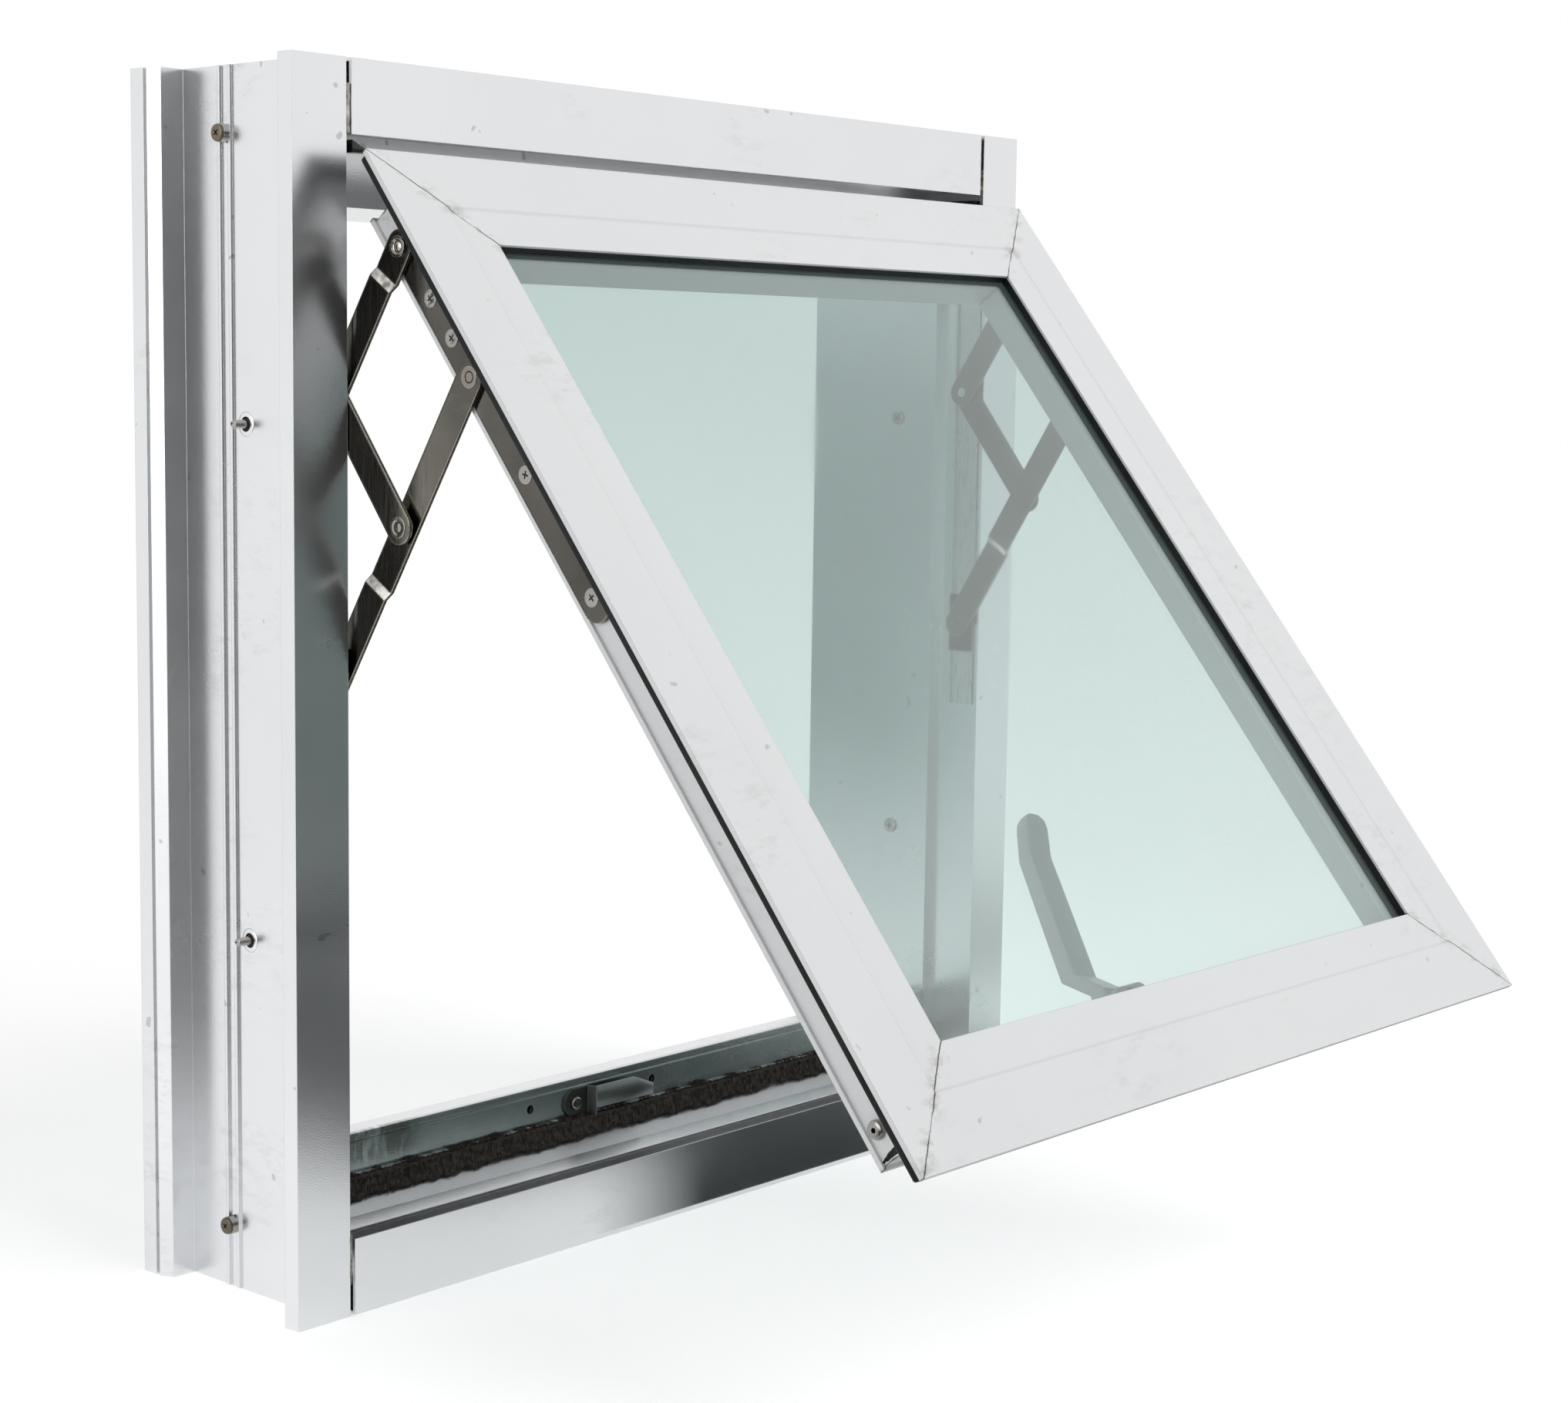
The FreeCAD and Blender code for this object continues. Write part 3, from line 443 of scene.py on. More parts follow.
def makeRubbedEdgeAndHighlight():
    # bright along edges: edge wear and a painted highlight
    group, source, result = makeGroup("rubbedEdgeAndHighlight", [("Reach", "NodeSocketFloat", 0.0007)],
                                      [("WearAndHighlight", "NodeSocketFloat")])
    soft, plain, agree = (group.nodes.new(kind) for kind in (
        "ShaderNodeBevel", "ShaderNodeNewGeometry", "ShaderNodeVectorMath"))
    soft.samples, agree.operation = edgeHighlightLook["samples"], "DOT_PRODUCT"
    group.links.new(source.outputs["Reach"], soft.inputs["Radius"])
    group.links.new(soft.outputs[0], agree.inputs[0])
    group.links.new(plain.outputs["True Normal"], agree.inputs[1])
    group.links.new(spread(group, agree.outputs["Value"], edgeHighlightLook["softFrom"], edgeHighlightLook["sharpBy"]),
                    result.inputs["WearAndHighlight"])
    return group


rubbedEdgeAndHighlight = makeRubbedEdgeAndHighlight()


def paintedBendGlint(tree, where):
    # painted glint on the slope of a joggle, in patches
    plain, split = tree.nodes.new("ShaderNodeNewGeometry"), tree.nodes.new("ShaderNodeSeparateXYZ")
    tree.links.new(plain.outputs["True Normal"], split.inputs[0])
    facing = mathNode(tree, "ABSOLUTE", split.outputs["X"])
    slope = mathNode(tree, "MULTIPLY", spread(tree, facing, *bendGlintLook["flat"]),
                     spread(tree, facing, *bendGlintLook["edgeOn"]))
    patchy = spread(tree, noise(tree, where, bendGlintLook["patch"], 2), 0.38, 0.6, 0.2, 1.0)
    return mathNode(tree, "MULTIPLY", slope, patchy)


def drawnMetal(name, look):
    # drawn metal with lengthwise lines, bright along its edges with wear and a painted highlight
    material, tree, shader, where = newMaterial(name)
    grain = placeGroup(tree, satinGrain, where, Drift=drawnLook["drift"])
    grime = placeGroup(tree, handGrime, where, Amount=look["grime"])
    base = mixColour(tree, grain["Tone"], look["dark"], look["light"])
    base = mixColour(tree, grime["Smear"], base, look["dirt"])
    # edge wear and painted highlight, lighter along every edge
    wornAndLit = placeGroup(tree, rubbedEdgeAndHighlight, Reach=look["reach"])
    base = mixColour(tree, wornAndLit["WearAndHighlight"], base, look["wearAndHighlight"])
    # painted glint on the joggle slopes
    if "bendGlint" in look:
        base = mixColour(tree, paintedBendGlint(tree, where), base, look["bendGlint"])
    tree.links.new(base, shader.inputs["Base Color"])
    lines = noise(tree, mapped(tree, where, drawnLook["lines"], (math.radians(look["lay"]), 0, 0)), 1.0, 3)
    tree.links.new(spread(tree, lines, 0.3, 0.7, look["rough"] - drawnLook["smoother"],
                          look["rough"] + drawnLook["rougher"]), shader.inputs["Roughness"])
    tree.links.new(bumped(tree, lines, drawnLook["tooth"], drawnLook["deep"], look["soft"]),
                   shader.inputs["Normal"])
    shader.inputs["Metallic"].default_value = look.get("metal", 1.0)
    return material


staySteel = drawnMetal("staySteel", dict(dark=(0.045, 0.042, 0.037), light=(0.20, 0.19, 0.165),
                                         dirt=(0.35, 0.32, 0.28), grime=0.5, wearAndHighlight=(0.78, 0.70, 0.60),
                                         bendGlint=(0.80, 0.77, 0.72), reach=0.0007, soft=0.0016, rough=0.16,
                                         lay=35))
screwSteel = drawnMetal("screwSteel", dict(dark=(0.26, 0.25, 0.235), light=(0.50, 0.485, 0.46),
                                           dirt=(0.16, 0.14, 0.12), grime=0.6, wearAndHighlight=(0.74, 0.73, 0.71),
                                           reach=0.0003, soft=0.0002, rough=0.22, lay=0))
rivetSteel = drawnMetal("rivetSteel", dict(dark=(0.15, 0.137, 0.12), light=(0.40, 0.375, 0.34),
                                           dirt=(0.05, 0.045, 0.04), grime=0.4, wearAndHighlight=(0.86, 0.83, 0.78),
                                           reach=0.00045, soft=0.0002, rough=0.13, lay=20))
cornerBronze = drawnMetal("cornerBronze", dict(dark=(0.09, 0.072, 0.05), light=(0.22, 0.185, 0.14),
                                               dirt=(0.05, 0.04, 0.03), grime=0.8, wearAndHighlight=(0.42, 0.36, 0.27),
                                               reach=0.0004, soft=0.0003, rough=0.34, lay=0))
trackSteel = drawnMetal("trackSteel", dict(dark=(0.50, 0.51, 0.52), light=(0.64, 0.65, 0.66),
                                           dirt=(0.2, 0.19, 0.18), grime=0.4, wearAndHighlight=(0.74, 0.75, 0.76),
                                           reach=0.0007, soft=0.0005, rough=0.3, lay=0))
# painted shadow and reflection: the keeper plate takes a near-black shaded copy of the metal, the bridge a
# lighter teal lit copy
shadedKeeperMetal = drawnMetal("shadedKeeperMetal", dict(dark=(0.045, 0.05, 0.05), light=(0.10, 0.105, 0.10),
                                             dirt=(0.05, 0.045, 0.04), grime=0.7, wearAndHighlight=(0.22, 0.23, 0.22),
                                             reach=0.0007, soft=0.0005, rough=0.34, lay=90))
handleMetal = drawnMetal("handleMetal", dict(dark=(0.40, 0.41, 0.41), light=(0.50, 0.51, 0.51),
                                             dirt=(0.14, 0.13, 0.12), grime=0.4, wearAndHighlight=(0.66, 0.67, 0.67),
                                             reach=0.0007, soft=0.0008, rough=0.42, lay=39, metal=0.5))
litBridgeMetal = drawnMetal("litBridgeMetal", dict(dark=(0.15, 0.17, 0.17), light=(0.24, 0.265, 0.26),
                                             dirt=(0.10, 0.09, 0.08), grime=0.6, wearAndHighlight=(0.60, 0.62, 0.61),
                                             reach=0.0004, soft=0.0004, rough=0.30, lay=90))


mattLook = dict(swing=0.1, deep=0.0004)


def mattFinish(name, look):
    # cloudy in tone, with fine pores
    material, tree, shader, where = newMaterial(name)
    cloud = noise(tree, where, look["cloud"], 4)
    tree.links.new(mixColour(tree, spread(tree, cloud, 0.35, 0.65), look["dark"], look["light"]),
                   shader.inputs["Base Color"])
    fine = noise(tree, where, look["pore"], 3, 0.6)
    rough, swing = look["rough"], mattLook["swing"]
    tree.links.new(spread(tree, fine, 0.3, 0.7, rough - swing, rough + swing), shader.inputs["Roughness"])
    tree.links.new(bumped(tree, fine, look["tooth"], mattLook["deep"]), shader.inputs["Normal"])
    shader.inputs["Specular IOR Level"].default_value = look.get("shine", 0.5)
    return material


blackRubber = mattFinish("blackRubber", dict(dark=(0.008, 0.009, 0.010), light=(0.02, 0.021, 0.022),
                                             cloud=24, pore=700, rough=0.5, tooth=0.12, shine=0.16))
blackPlastic = mattFinish("blackPlastic", dict(dark=(0.010, 0.010, 0.010), light=(0.026, 0.025, 0.024),
                                               cloud=40, pore=500, rough=0.24, tooth=0.08))
pileBrown = mattFinish("pileBrown", dict(dark=(0.018, 0.014, 0.012), light=(0.075, 0.06, 0.05),
                                         cloud=420, pore=1500, rough=0.85, tooth=0.5))
# near-black for painted shade in recesses, holes and the nick
paintedRecessShade = mattFinish("paintedRecessShade", dict(dark=(0.006, 0.005, 0.004), light=(0.02, 0.017, 0.014),
                                           cloud=300, pore=900, rough=0.7, tooth=0.1))
paleBacking = mattFinish("paleBacking", dict(dark=(0.35, 0.35, 0.34), light=(0.74, 0.74, 0.73),
                                             cloud=260, pore=1500, rough=0.7, tooth=0.3))
oldSealant = mattFinish("oldSealant", dict(dark=(0.10, 0.075, 0.05), light=(0.62, 0.60, 0.55),
                                           cloud=190, pore=600, rough=0.6, tooth=0.3))

glassLook = dict(tintHigh=(0.525, 0.685, 0.66), tintLow=(0.79, 0.95, 0.92), low=0.16, high=0.48,
                 filmScale=5, filmTint=(0.5, 0.6, 0.58), filmBy=0.06, smudge=0.05, clear=0.9, ior=2.05)
tintedGlass, tree, shader, where = newMaterial("tintedGlass")
dustFilmAndShade = noise(tree, where, glassLook["filmScale"], 5)
split = tree.nodes.new("ShaderNodeSeparateXYZ")
tree.links.new(where, split.inputs[0])
tint = mixColour(tree, spread(tree, split.outputs["Z"], glassLook["low"], glassLook["high"]),
                 glassLook["tintLow"], glassLook["tintHigh"])
dusty = spread(tree, dustFilmAndShade, 0.35, 0.65, 0.0, glassLook["filmBy"])
tree.links.new(mixColour(tree, dusty, tint, glassLook["filmTint"]), shader.inputs["Base Color"])
tree.links.new(spread(tree, dustFilmAndShade, 0.45, 0.8, 0.0, glassLook["smudge"]), shader.inputs["Roughness"])
shader.inputs["Transmission Weight"].default_value = glassLook["clear"]
shader.inputs["IOR"].default_value = glassLook["ior"]

finishOf = dict(satin_aluminium=satinAluminium, sash_aluminium=sashAluminium, tinted_glass=tintedGlass,
                black_rubber=blackRubber, stay_steel=staySteel, screw_steel=screwSteel,
                black_plastic=blackPlastic, pile=pileBrown, keeper_metal=shadedKeeperMetal,
                handle_metal=handleMetal)
for entry in frame["record"]["subparts"]:
    for slot in nodes[entry["node"]].material_slots:
        slot.material = finishOf[entry["material_slot"]]
for name in ("left_stay_track", "right_stay_track"):
    nodes[name].material_slots[0].material = trackSteel
print("finishes set on", len(nodes), "solids")


# helpers for modelling by hand

def applyAll(piece):
    deselectAll()
    piece.select_set(True)
    bpy.context.view_layer.objects.active = piece
    bpy.ops.object.transform_apply(location=True, rotation=True, scale=True)
    for modifier in list(piece.modifiers):
        bpy.ops.object.modifier_apply(modifier=modifier.name)


def addBlock(size, at=(0, 0, 0), spin=0.0):
    deselectAll()
    bpy.ops.mesh.primitive_cube_add(size=1, location=at, rotation=(0, 0, spin))
    block = bpy.context.object
    block.scale = size
    applyAll(block)
    return block


def addRound(sides, radius, tall, middle):
    deselectAll()
    bpy.ops.mesh.primitive_cylinder_add(vertices=sides, radius=radius, depth=tall, location=middle)
    applyAll(bpy.context.object)
    return bpy.context.object


def addSheet(wide, tall):
    deselectAll()
    bpy.ops.mesh.primitive_plane_add(size=1)
    sheet = bpy.context.object
    sheet.scale = (wide, tall, 1)
    applyAll(sheet)
    return sheet


def editPicked(piece, kind, test):
    # edit mode with only the wanted faces, edges or corners picked
    bpy.ops.object.mode_set(mode="EDIT")
    bpy.ops.mesh.select_mode(type=kind)
    bpy.ops.mesh.select_all(action="DESELECT")
    bpy.ops.object.mode_set(mode="OBJECT")
    mesh = piece.data
    if kind == "FACE":
        for face in mesh.polygons:
            face.select = test(face.center, face.normal)
    elif kind == "EDGE":
        for edge in mesh.edges:
            edge.select = test(*(mesh.vertices[i].co for i in edge.vertices))
    else:
        for corner in mesh.vertices:
            corner.select = test(corner.co)
    bpy.ops.object.mode_set(mode="EDIT")


def leaveEdit():
    bpy.ops.object.mode_set(mode="OBJECT")


def roughen(cuts, ragged, seed):
    # cuts up what is picked, then shakes every corner a little
    bpy.ops.mesh.subdivide(number_cuts=cuts)
    bpy.ops.mesh.select_all(action="SELECT")
    bpy.ops.transform.vertex_random(offset=ragged, seed=seed)


def roundRim(piece, level, offset, segments, profile=0.5):
    editPicked(piece, "EDGE", lambda a, b: a.z > level - hair and b.z > level - hair)
    bpy.ops.mesh.bevel(offset=offset, segments=segments, profile=profile)
    leaveEdit()


def combine(piece, tool, operation):
    cutting = piece.modifiers.new("combine", "BOOLEAN")
    cutting.object, cutting.operation, cutting.solver = tool, operation, "EXACT"
    applyAll(piece)


def roundCorners(piece, width, segments, sharperThan=30):
    rounded = piece.modifiers.new("rounded", "BEVEL")
    rounded.width, rounded.segments, rounded.limit_method = width, segments, "ANGLE"
    rounded.angle_limit = math.radians(sharperThan)
    applyAll(piece)


def smoothBy(piece, degrees):
    deselectAll()
    piece.select_set(True)
    bpy.context.view_layer.objects.active = piece
    bpy.ops.object.shade_smooth_by_angle(angle=math.radians(degrees))


def dress(piece, degrees, *paints):
    piece.data.materials.clear()
    for paint in paints:
        piece.data.materials.append(paint)
    smoothBy(piece, degrees)
    return piece


def turnTo(outward, at, spin=0.0):
    # carries a piece modelled along +Z to its place
    aim = Vector(outward).to_track_quat("Z", "Y").to_matrix().to_4x4()
    return Matrix.Translation(at) @ aim @ Matrix.Rotation(spin, 4, "Z")


def layAlong(first, second, third, at):
    # carries a piece modelled on its own axes to a place with these directions
    return Matrix.Translation(at) @ Matrix((first, second, third)).transposed().to_4x4()


def setDown(model, name, body, move):
    # a copy with its own mesh, placed in the mesh and riding on a body
    piece = model.copy()
    piece.data = model.data.copy()
    piece.data.transform(move)
    piece.name = piece.data.name = name
    scene.collection.objects.link(piece)
    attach(piece, body)
    return piece


def putAway(*models):
    for model in models:
        bpy.data.objects.remove(model)


# screws, rivets and pins: the shapes are in parts of the radius or the height

screwShape = dict(sides=32, roundSteps=4, roundFull=0.6, socketSides=6, socket=0.4, barLong=1.1, barWide=0.26,
                  taper=0.6, darkWithin=0.55, darkBelow=0.2)
rivetShape = dict(sides=40, rings=((0.10, 0.0), (0.16, 0.12), (0.16, -0.75), (0.14, 0.0), (0.12, 0.55)),
                  darkFrom=0.4, darkTo=0.6)
pinShape = dict(stemSides=28, nose=0.86, noseWall=0.3, noseDeep=0.35, noseFloor=0.2, collarSides=40,
                collarTop=0.9, lipWide=0.28, dishSlope=0.16, dishDeep=0.6, darkWithin=0.5, darkBelow=0.9)


def modelScrewHead(look):
    head = addRound(screwShape["sides"], look["radius"], look["height"], (0, 0, look["height"] / 2))
    roundRim(head, look["height"], look["round"], screwShape["roundSteps"], screwShape["roundFull"])
    bars, top = [], (0, 0, look["height"])
    for quarter in look.get("drive", (0, 90)):
        if quarter is None:    # a six-sided socket in place of the cross
            bar = addRound(screwShape["socketSides"], look["radius"] * screwShape["socket"],
                           look["recess"] * 2, top)
        else:
            bar = addBlock((look["radius"] * screwShape["barLong"], look["radius"] * screwShape["barWide"],
                            look["recess"] * 2), top, math.radians(quarter))
        editPicked(bar, "FACE", lambda at, normal: normal.z < -squareOn)
        bpy.ops.transform.resize(value=(screwShape["taper"], screwShape["taper"], 1))
        leaveEdit()
        bars.append(bar)
    for bar in bars:
        combine(head, bar, "DIFFERENCE")
    putAway(*bars)
    dress(head, 30, look["finish"], paintedRecessShade)
    # painted shade: faces deep in the drive take the near-black finish
    for face in head.data.polygons:
        deep = hair < face.center.z < look["height"] - look["recess"] * screwShape["darkBelow"]
        face.material_index = int(deep and face.center.xy.length < look["radius"] * screwShape["darkWithin"])
    return head


def modelRingRivet(look):
    # raised rim, a dished ring darkened with painted shade and a small crown
    rivet = addRound(rivetShape["sides"], look["radius"], look["height"], (0, 0, look["height"] / 2))
    editPicked(rivet, "FACE", lambda at, normal: normal.z > squareOn)
    for step, sink in rivetShape["rings"]:
        bpy.ops.mesh.inset(thickness=look["radius"] * step)
        bpy.ops.transform.translate(value=(0, 0, look["height"] * sink))
    leaveEdit()
    dress(rivet, 50, look["finish"], paintedRecessShade)
    for face in rivet.data.polygons:
        ring = face.center.xy.length / look["radius"]
        dished = rivetShape["darkFrom"] < ring < rivetShape["darkTo"]
        face.material_index = int(dished and face.center.z > hair)
    return rivet


def modelPin(look):
    # end of a blind rivet: a stem with a hollow nose standing in a dished collar
    stem = addRound(pinShape["stemSides"], look["stem"], look["length"] + look["sunk"],
                    (0, 0, (look["length"] - look["sunk"]) / 2))
    editPicked(stem, "FACE", lambda at, normal: normal.z > squareOn)
    bpy.ops.transform.resize(value=(pinShape["nose"], pinShape["nose"], 1))
    bpy.ops.mesh.inset(thickness=look["stem"] * pinShape["noseWall"])
    bpy.ops.transform.translate(value=(0, 0, -look["stem"] * pinShape["noseDeep"]))
    bpy.ops.mesh.inset(thickness=look["stem"] * pinShape["noseFloor"])
    leaveEdit()
    collar = addRound(pinShape["collarSides"], look["collar"], look["lip"], (0, 0, look["lip"] / 2))
    editPicked(collar, "FACE", lambda at, normal: normal.z > squareOn)
    bpy.ops.transform.resize(value=(pinShape["collarTop"], pinShape["collarTop"], 1))
    bpy.ops.mesh.inset(thickness=look["collar"] * pinShape["lipWide"])
    bpy.ops.mesh.inset(thickness=look["collar"] * pinShape["dishSlope"])
    bpy.ops.transform.translate(value=(0, 0, -look["sunk"] * pinShape["dishDeep"]))
    leaveEdit()
    dress(stem, 40, look["finish"])
    dress(collar, 40, satinAluminium, paintedRecessShade)
    # painted shade inside the collar's dish and hole
    for face in collar.data.polygons:
        inside = face.center.xy.length < look["collar"] * pinShape["darkWithin"]
        face.material_index = int(inside and face.center.z < look["lip"] * pinShape["darkBelow"])
    return stem, collar


# pivots of the stay as y and z, the faces that carry heads as x, and the screws' way down the bar
stay = dict(topPivot=(-0.160571, 0.473094), barPivot=(-0.208399, 0.414031), elbow=(-0.164956, 0.344484),
            linkFace=0.2380, shortFace=0.2424, barFace=0.2358, barScrews=(0.0305, 0.0536, 0.131, 0.198))
fixings = dict(cornerFace=0.2570, cornerBack=-0.053, cornerLevels=(0.528, -0.008), pinFace=0.2530,
               pinBack=-0.067, pinLevels=(0.390, 0.138), headFace=0.2410, sashScrew=(0.233, 0.031, 0.0232),
               sashTurn=0.4, keeperScrew=(-0.058, -0.0965, 0.0250), keeperTurn=0.5, anyTurn=1.5)
tallRivet = modelRingRivet(dict(radius=0.0050, height=0.0012, finish=rivetSteel))
flatRivet = modelRingRivet(dict(radius=0.0050, height=0.0003, finish=rivetSteel))
barScrew = modelScrewHead(dict(radius=0.0042, height=0.00028, round=0.0001, recess=0.00024,
                               finish=screwSteel))
cornerHead = modelScrewHead(dict(radius=0.0042, height=0.0019, round=0.0012, recess=0.0013,
                                 finish=cornerBronze))
keeperHead = modelScrewHead(dict(radius=0.0037, height=0.0018, round=0.0011, recess=0.0012,
                                 finish=rivetSteel))
sideHead = modelScrewHead(dict(radius=0.0042, height=0.0030, round=0.0022, recess=0.0017,
                               finish=screwSteel, drive=(None,)))
fixingHead = modelScrewHead(dict(radius=0.0045, height=0.0016, round=0.0010, recess=0.0010,
                                 finish=screwSteel))
pinStem, pinCollar = modelPin(dict(stem=0.0023, length=0.0078, sunk=0.0030, collar=0.0060, lip=0.0004,
                                   finish=screwSteel))

for side, sign in (("left", -1), ("right", 1)):
    out, inside = (sign, 0, 0), (-sign, 0, 0)
    setDown(tallRivet, side + "TopRivet", "top_links",
            turnTo(out, (sign * stay["linkFace"], *stay["topPivot"])))
    setDown(flatRivet, side + "BarRivet", "main_arms",
            turnTo(out, (sign * stay["linkFace"], *stay["barPivot"])))
    setDown(flatRivet, side + "ElbowRivet", "short_arms",
            turnTo(out, (sign * stay["shortFace"], *stay["elbow"])))
    for index, down in enumerate(stay["barScrews"]):
        at = Vector((sign * stay["barFace"], *stay["topPivot"])) - sash["up"] * down
        setDown(barScrew, "%sBarScrew%d" % (side, index + 1), "sash",
                turnTo(out, at, random.uniform(0, fixings["anyTurn"])))
    for index, level in enumerate(fixings["cornerLevels"]):
        at = (sign * fixings["cornerFace"], fixings["cornerBack"], level)
        setDown(cornerHead, "%sCornerScrew%d" % (side, index + 1), "frame",
                turnTo(out, at, random.uniform(0, fixings["anyTurn"])))
    for index, level in enumerate(fixings["pinLevels"]):
        move = turnTo(out, (sign * fixings["pinFace"], fixings["pinBack"], level))
        setDown(pinStem, "%sPin%d" % (side, index + 1), "frame", move)
        at = (sign * fixings["headFace"], fixings["pinBack"], level)
        setDown(fixingHead, "%sFixingHead%d" % (side, index + 1), "frame",
                turnTo(inside, at, random.uniform(0, fixings["anyTurn"])))
        setDown(pinCollar, "%sPinCollar%d" % (side, index + 1), "frame", move)
    across, up, deep = fixings["sashScrew"]
    setDown(sideHead, side + "SashScrew", "sash",
            turnTo(out, onSash(sign * across, up, deep), fixings["sashTurn"]))
setDown(keeperHead, "keeperScrew", "frame",
        turnTo((0, -1, 0), fixings["keeperScrew"], fixings["keeperTurn"]))
putAway(tallRivet, flatRivet, barScrew, cornerHead, keeperHead, sideHead, fixingHead, pinStem, pinCollar)
print("screws, rivets and pins placed")


# pile brush on the sill

def lineUp(piece, count, pitch):
    row = piece.modifiers.new("row", "ARRAY")
    row.count, row.use_relative_offset, row.use_constant_offset = count, False, True
    row.constant_offset_displace = (pitch, 0, 0)
    applyAll(piece)


def modelPileBrush(look):
    deselectAll()
    bpy.ops.mesh.primitive_cone_add(vertices=3, radius1=look["blade"], radius2=look["blade"] * look["tip"],
                                    depth=look["drop"])
    blade = bpy.context.object
    lineUp(blade, look["perRow"], look["pitch"])
    rows = [blade]
    for index in range(1, look["rows"]):
        deselectAll()
        blade.select_set(True)
        bpy.context.view_layer.objects.active = blade
        bpy.ops.object.duplicate()
        copy = bpy.context.object
        copy.location = (look["pitch"] * (look["stagger"] * index % 1),
                         look["thick"] * (index / look["rows"] - 0.5), look["climb"] * index)
        applyAll(copy)
        rows.append(copy)
    deselectAll()
    for piece in rows:
        piece.select_set(True)
    bpy.context.view_layer.objects.active = blade
    bpy.ops.object.join()
    bpy.ops.object.mode_set(mode="EDIT")
    bpy.ops.mesh.select_all(action="SELECT")
    bpy.ops.transform.vertex_random(offset=look["ragged"], seed=look["seed"])
    leaveEdit()
    lineUp(blade, look["runs"], look["pitch"] * look["perRow"])
    waves = bpy.data.textures.new("pileWaves", "CLOUDS")
    waves.noise_scale = look["wave"]
    for axis, strength in (("Z", look["rise"]), ("Y", look["rise"] * look["sideways"])):
        sway = blade.modifiers.new("sway" + axis, "DISPLACE")
        sway.texture, sway.direction, sway.strength = waves, axis, strength
        sway.texture_coords, sway.mid_level = "LOCAL", 0.5
    applyAll(blade)
    return blade


pileLook = dict(blade=0.00055, tip=0.25, drop=0.0085, perRow=24, pitch=0.0006, rows=9, stagger=0.37,
                thick=0.0052, climb=0.00045, ragged=0.0010, seed=5, runs=33, wave=0.011, rise=0.0060,
                sideways=0.4, inset=Vector((0.0008, 0.0006, 0.0036)), lean=-14)
lowCorner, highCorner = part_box("pile_strip")
tufts = modelPileBrush(pileLook)
tufts.data.materials.append(pileBrown)
setDown(tufts, "pileBrush", "frame", Matrix.Translation(lowCorner + pileLook["inset"])
        @ Matrix.Rotation(math.radians(pileLook["lean"]), 4, "X"))
putAway(tufts)

# the pale backing that shows along the top of the pile
backingLook = dict(thick=0.0012, tall=0.0011, short=0.001, fromBack=0.0008, proud=0.0003, cuts=160,
                   ragged=0.0004, seed=8)
wide = highCorner.x - lowCorner.x - backingLook["short"]
backing = addBlock((wide, backingLook["thick"], backingLook["tall"]),
                   (0, highCorner.y - backingLook["fromBack"], highCorner.z + backingLook["proud"]))
editPicked(backing, "EDGE", lambda a, b: abs(a.x - b.x) > wide / 2)
roughen(backingLook["cuts"], backingLook["ragged"], backingLook["seed"])
leaveEdit()
backing.data.materials.append(paleBacking)
setDown(backing, "pileBacking", "frame", Matrix.Identity(4))
putAway(backing)
print("pile brush laid on the sill")


# old sealant in the frame joints

def modelSealant(look):
    bead = addBlock((look["width"], look["thick"], look["length"]))
    editPicked(bead, "EDGE", lambda a, b: abs(a.z - b.z) > look["length"] * 0.5)
    roughen(look["cuts"], look["ragged"], look["seed"])
    leaveEdit()
    softened = bead.modifiers.new("soften", "SUBSURF")
    softened.levels = softened.render_levels = 2
    applyAll(bead)
    return dress(bead, 60, oldSealant)


sealantRuns = [
    dict(name="leftHeadSealant", at=(-0.2419, -0.1288, 0.5368), width=0.0032, thick=0.0034, length=0.024,
         cuts=14, ragged=0.0007, seed=3),
    dict(name="leftSillSealant", at=(-0.2424, -0.1288, -0.0120), width=0.0026, thick=0.0032, length=0.026,
         cuts=14, ragged=0.0005, seed=6),
    dict(name="rightHeadSealant", at=(0.2415, -0.1280, 0.5340), width=0.0026, thick=0.0026, length=0.012,
         cuts=8, ragged=0.0005, seed=9),
    dict(name="rightSillSealant", at=(0.2415, -0.1280, -0.0150), width=0.0026, thick=0.0026, length=0.016,
         cuts=8, ragged=0.0005, seed=12),
]
for look in sealantRuns:
    bead = modelSealant(look)
    setDown(bead, look["name"], "frame", Matrix.Translation(look["at"]))
    putAway(bead)
print("sealant in the joints")


# weather gasket, black corner plug and the painted shade of the nicked sash end

gasketLook = dict(edge=0.0009, width=0.0100, thick=0.0045, behind=0.0025, round=0.0013)
gasket = addSheet(2 * (sash["half"] - gasketLook["edge"]), sash["tall"] - 2 * gasketLook["edge"])
editPicked(gasket, "FACE", lambda at, normal: True)
bpy.ops.mesh.inset(thickness=gasketLook["width"])
bpy.ops.mesh.delete(type="FACE")
leaveEdit()
thicken = gasket.modifiers.new("thicken", "SOLIDIFY")
thicken.thickness, thicken.offset = gasketLook["thick"], 0
roundCorners(gasket, gasketLook["round"], 3)
dress(gasket, 40, blackRubber)
middle = onSash(0, sash["tall"] / 2, gasketLook["behind"] + gasketLook["thick"] / 2)
ring = setDown(gasket, "weatherGasketRing", "sash",
               layAlong(Vector((1, 0, 0)), sash["up"], -sash["inward"], middle))
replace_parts(ring, "weather_gasket")
putAway(gasket)

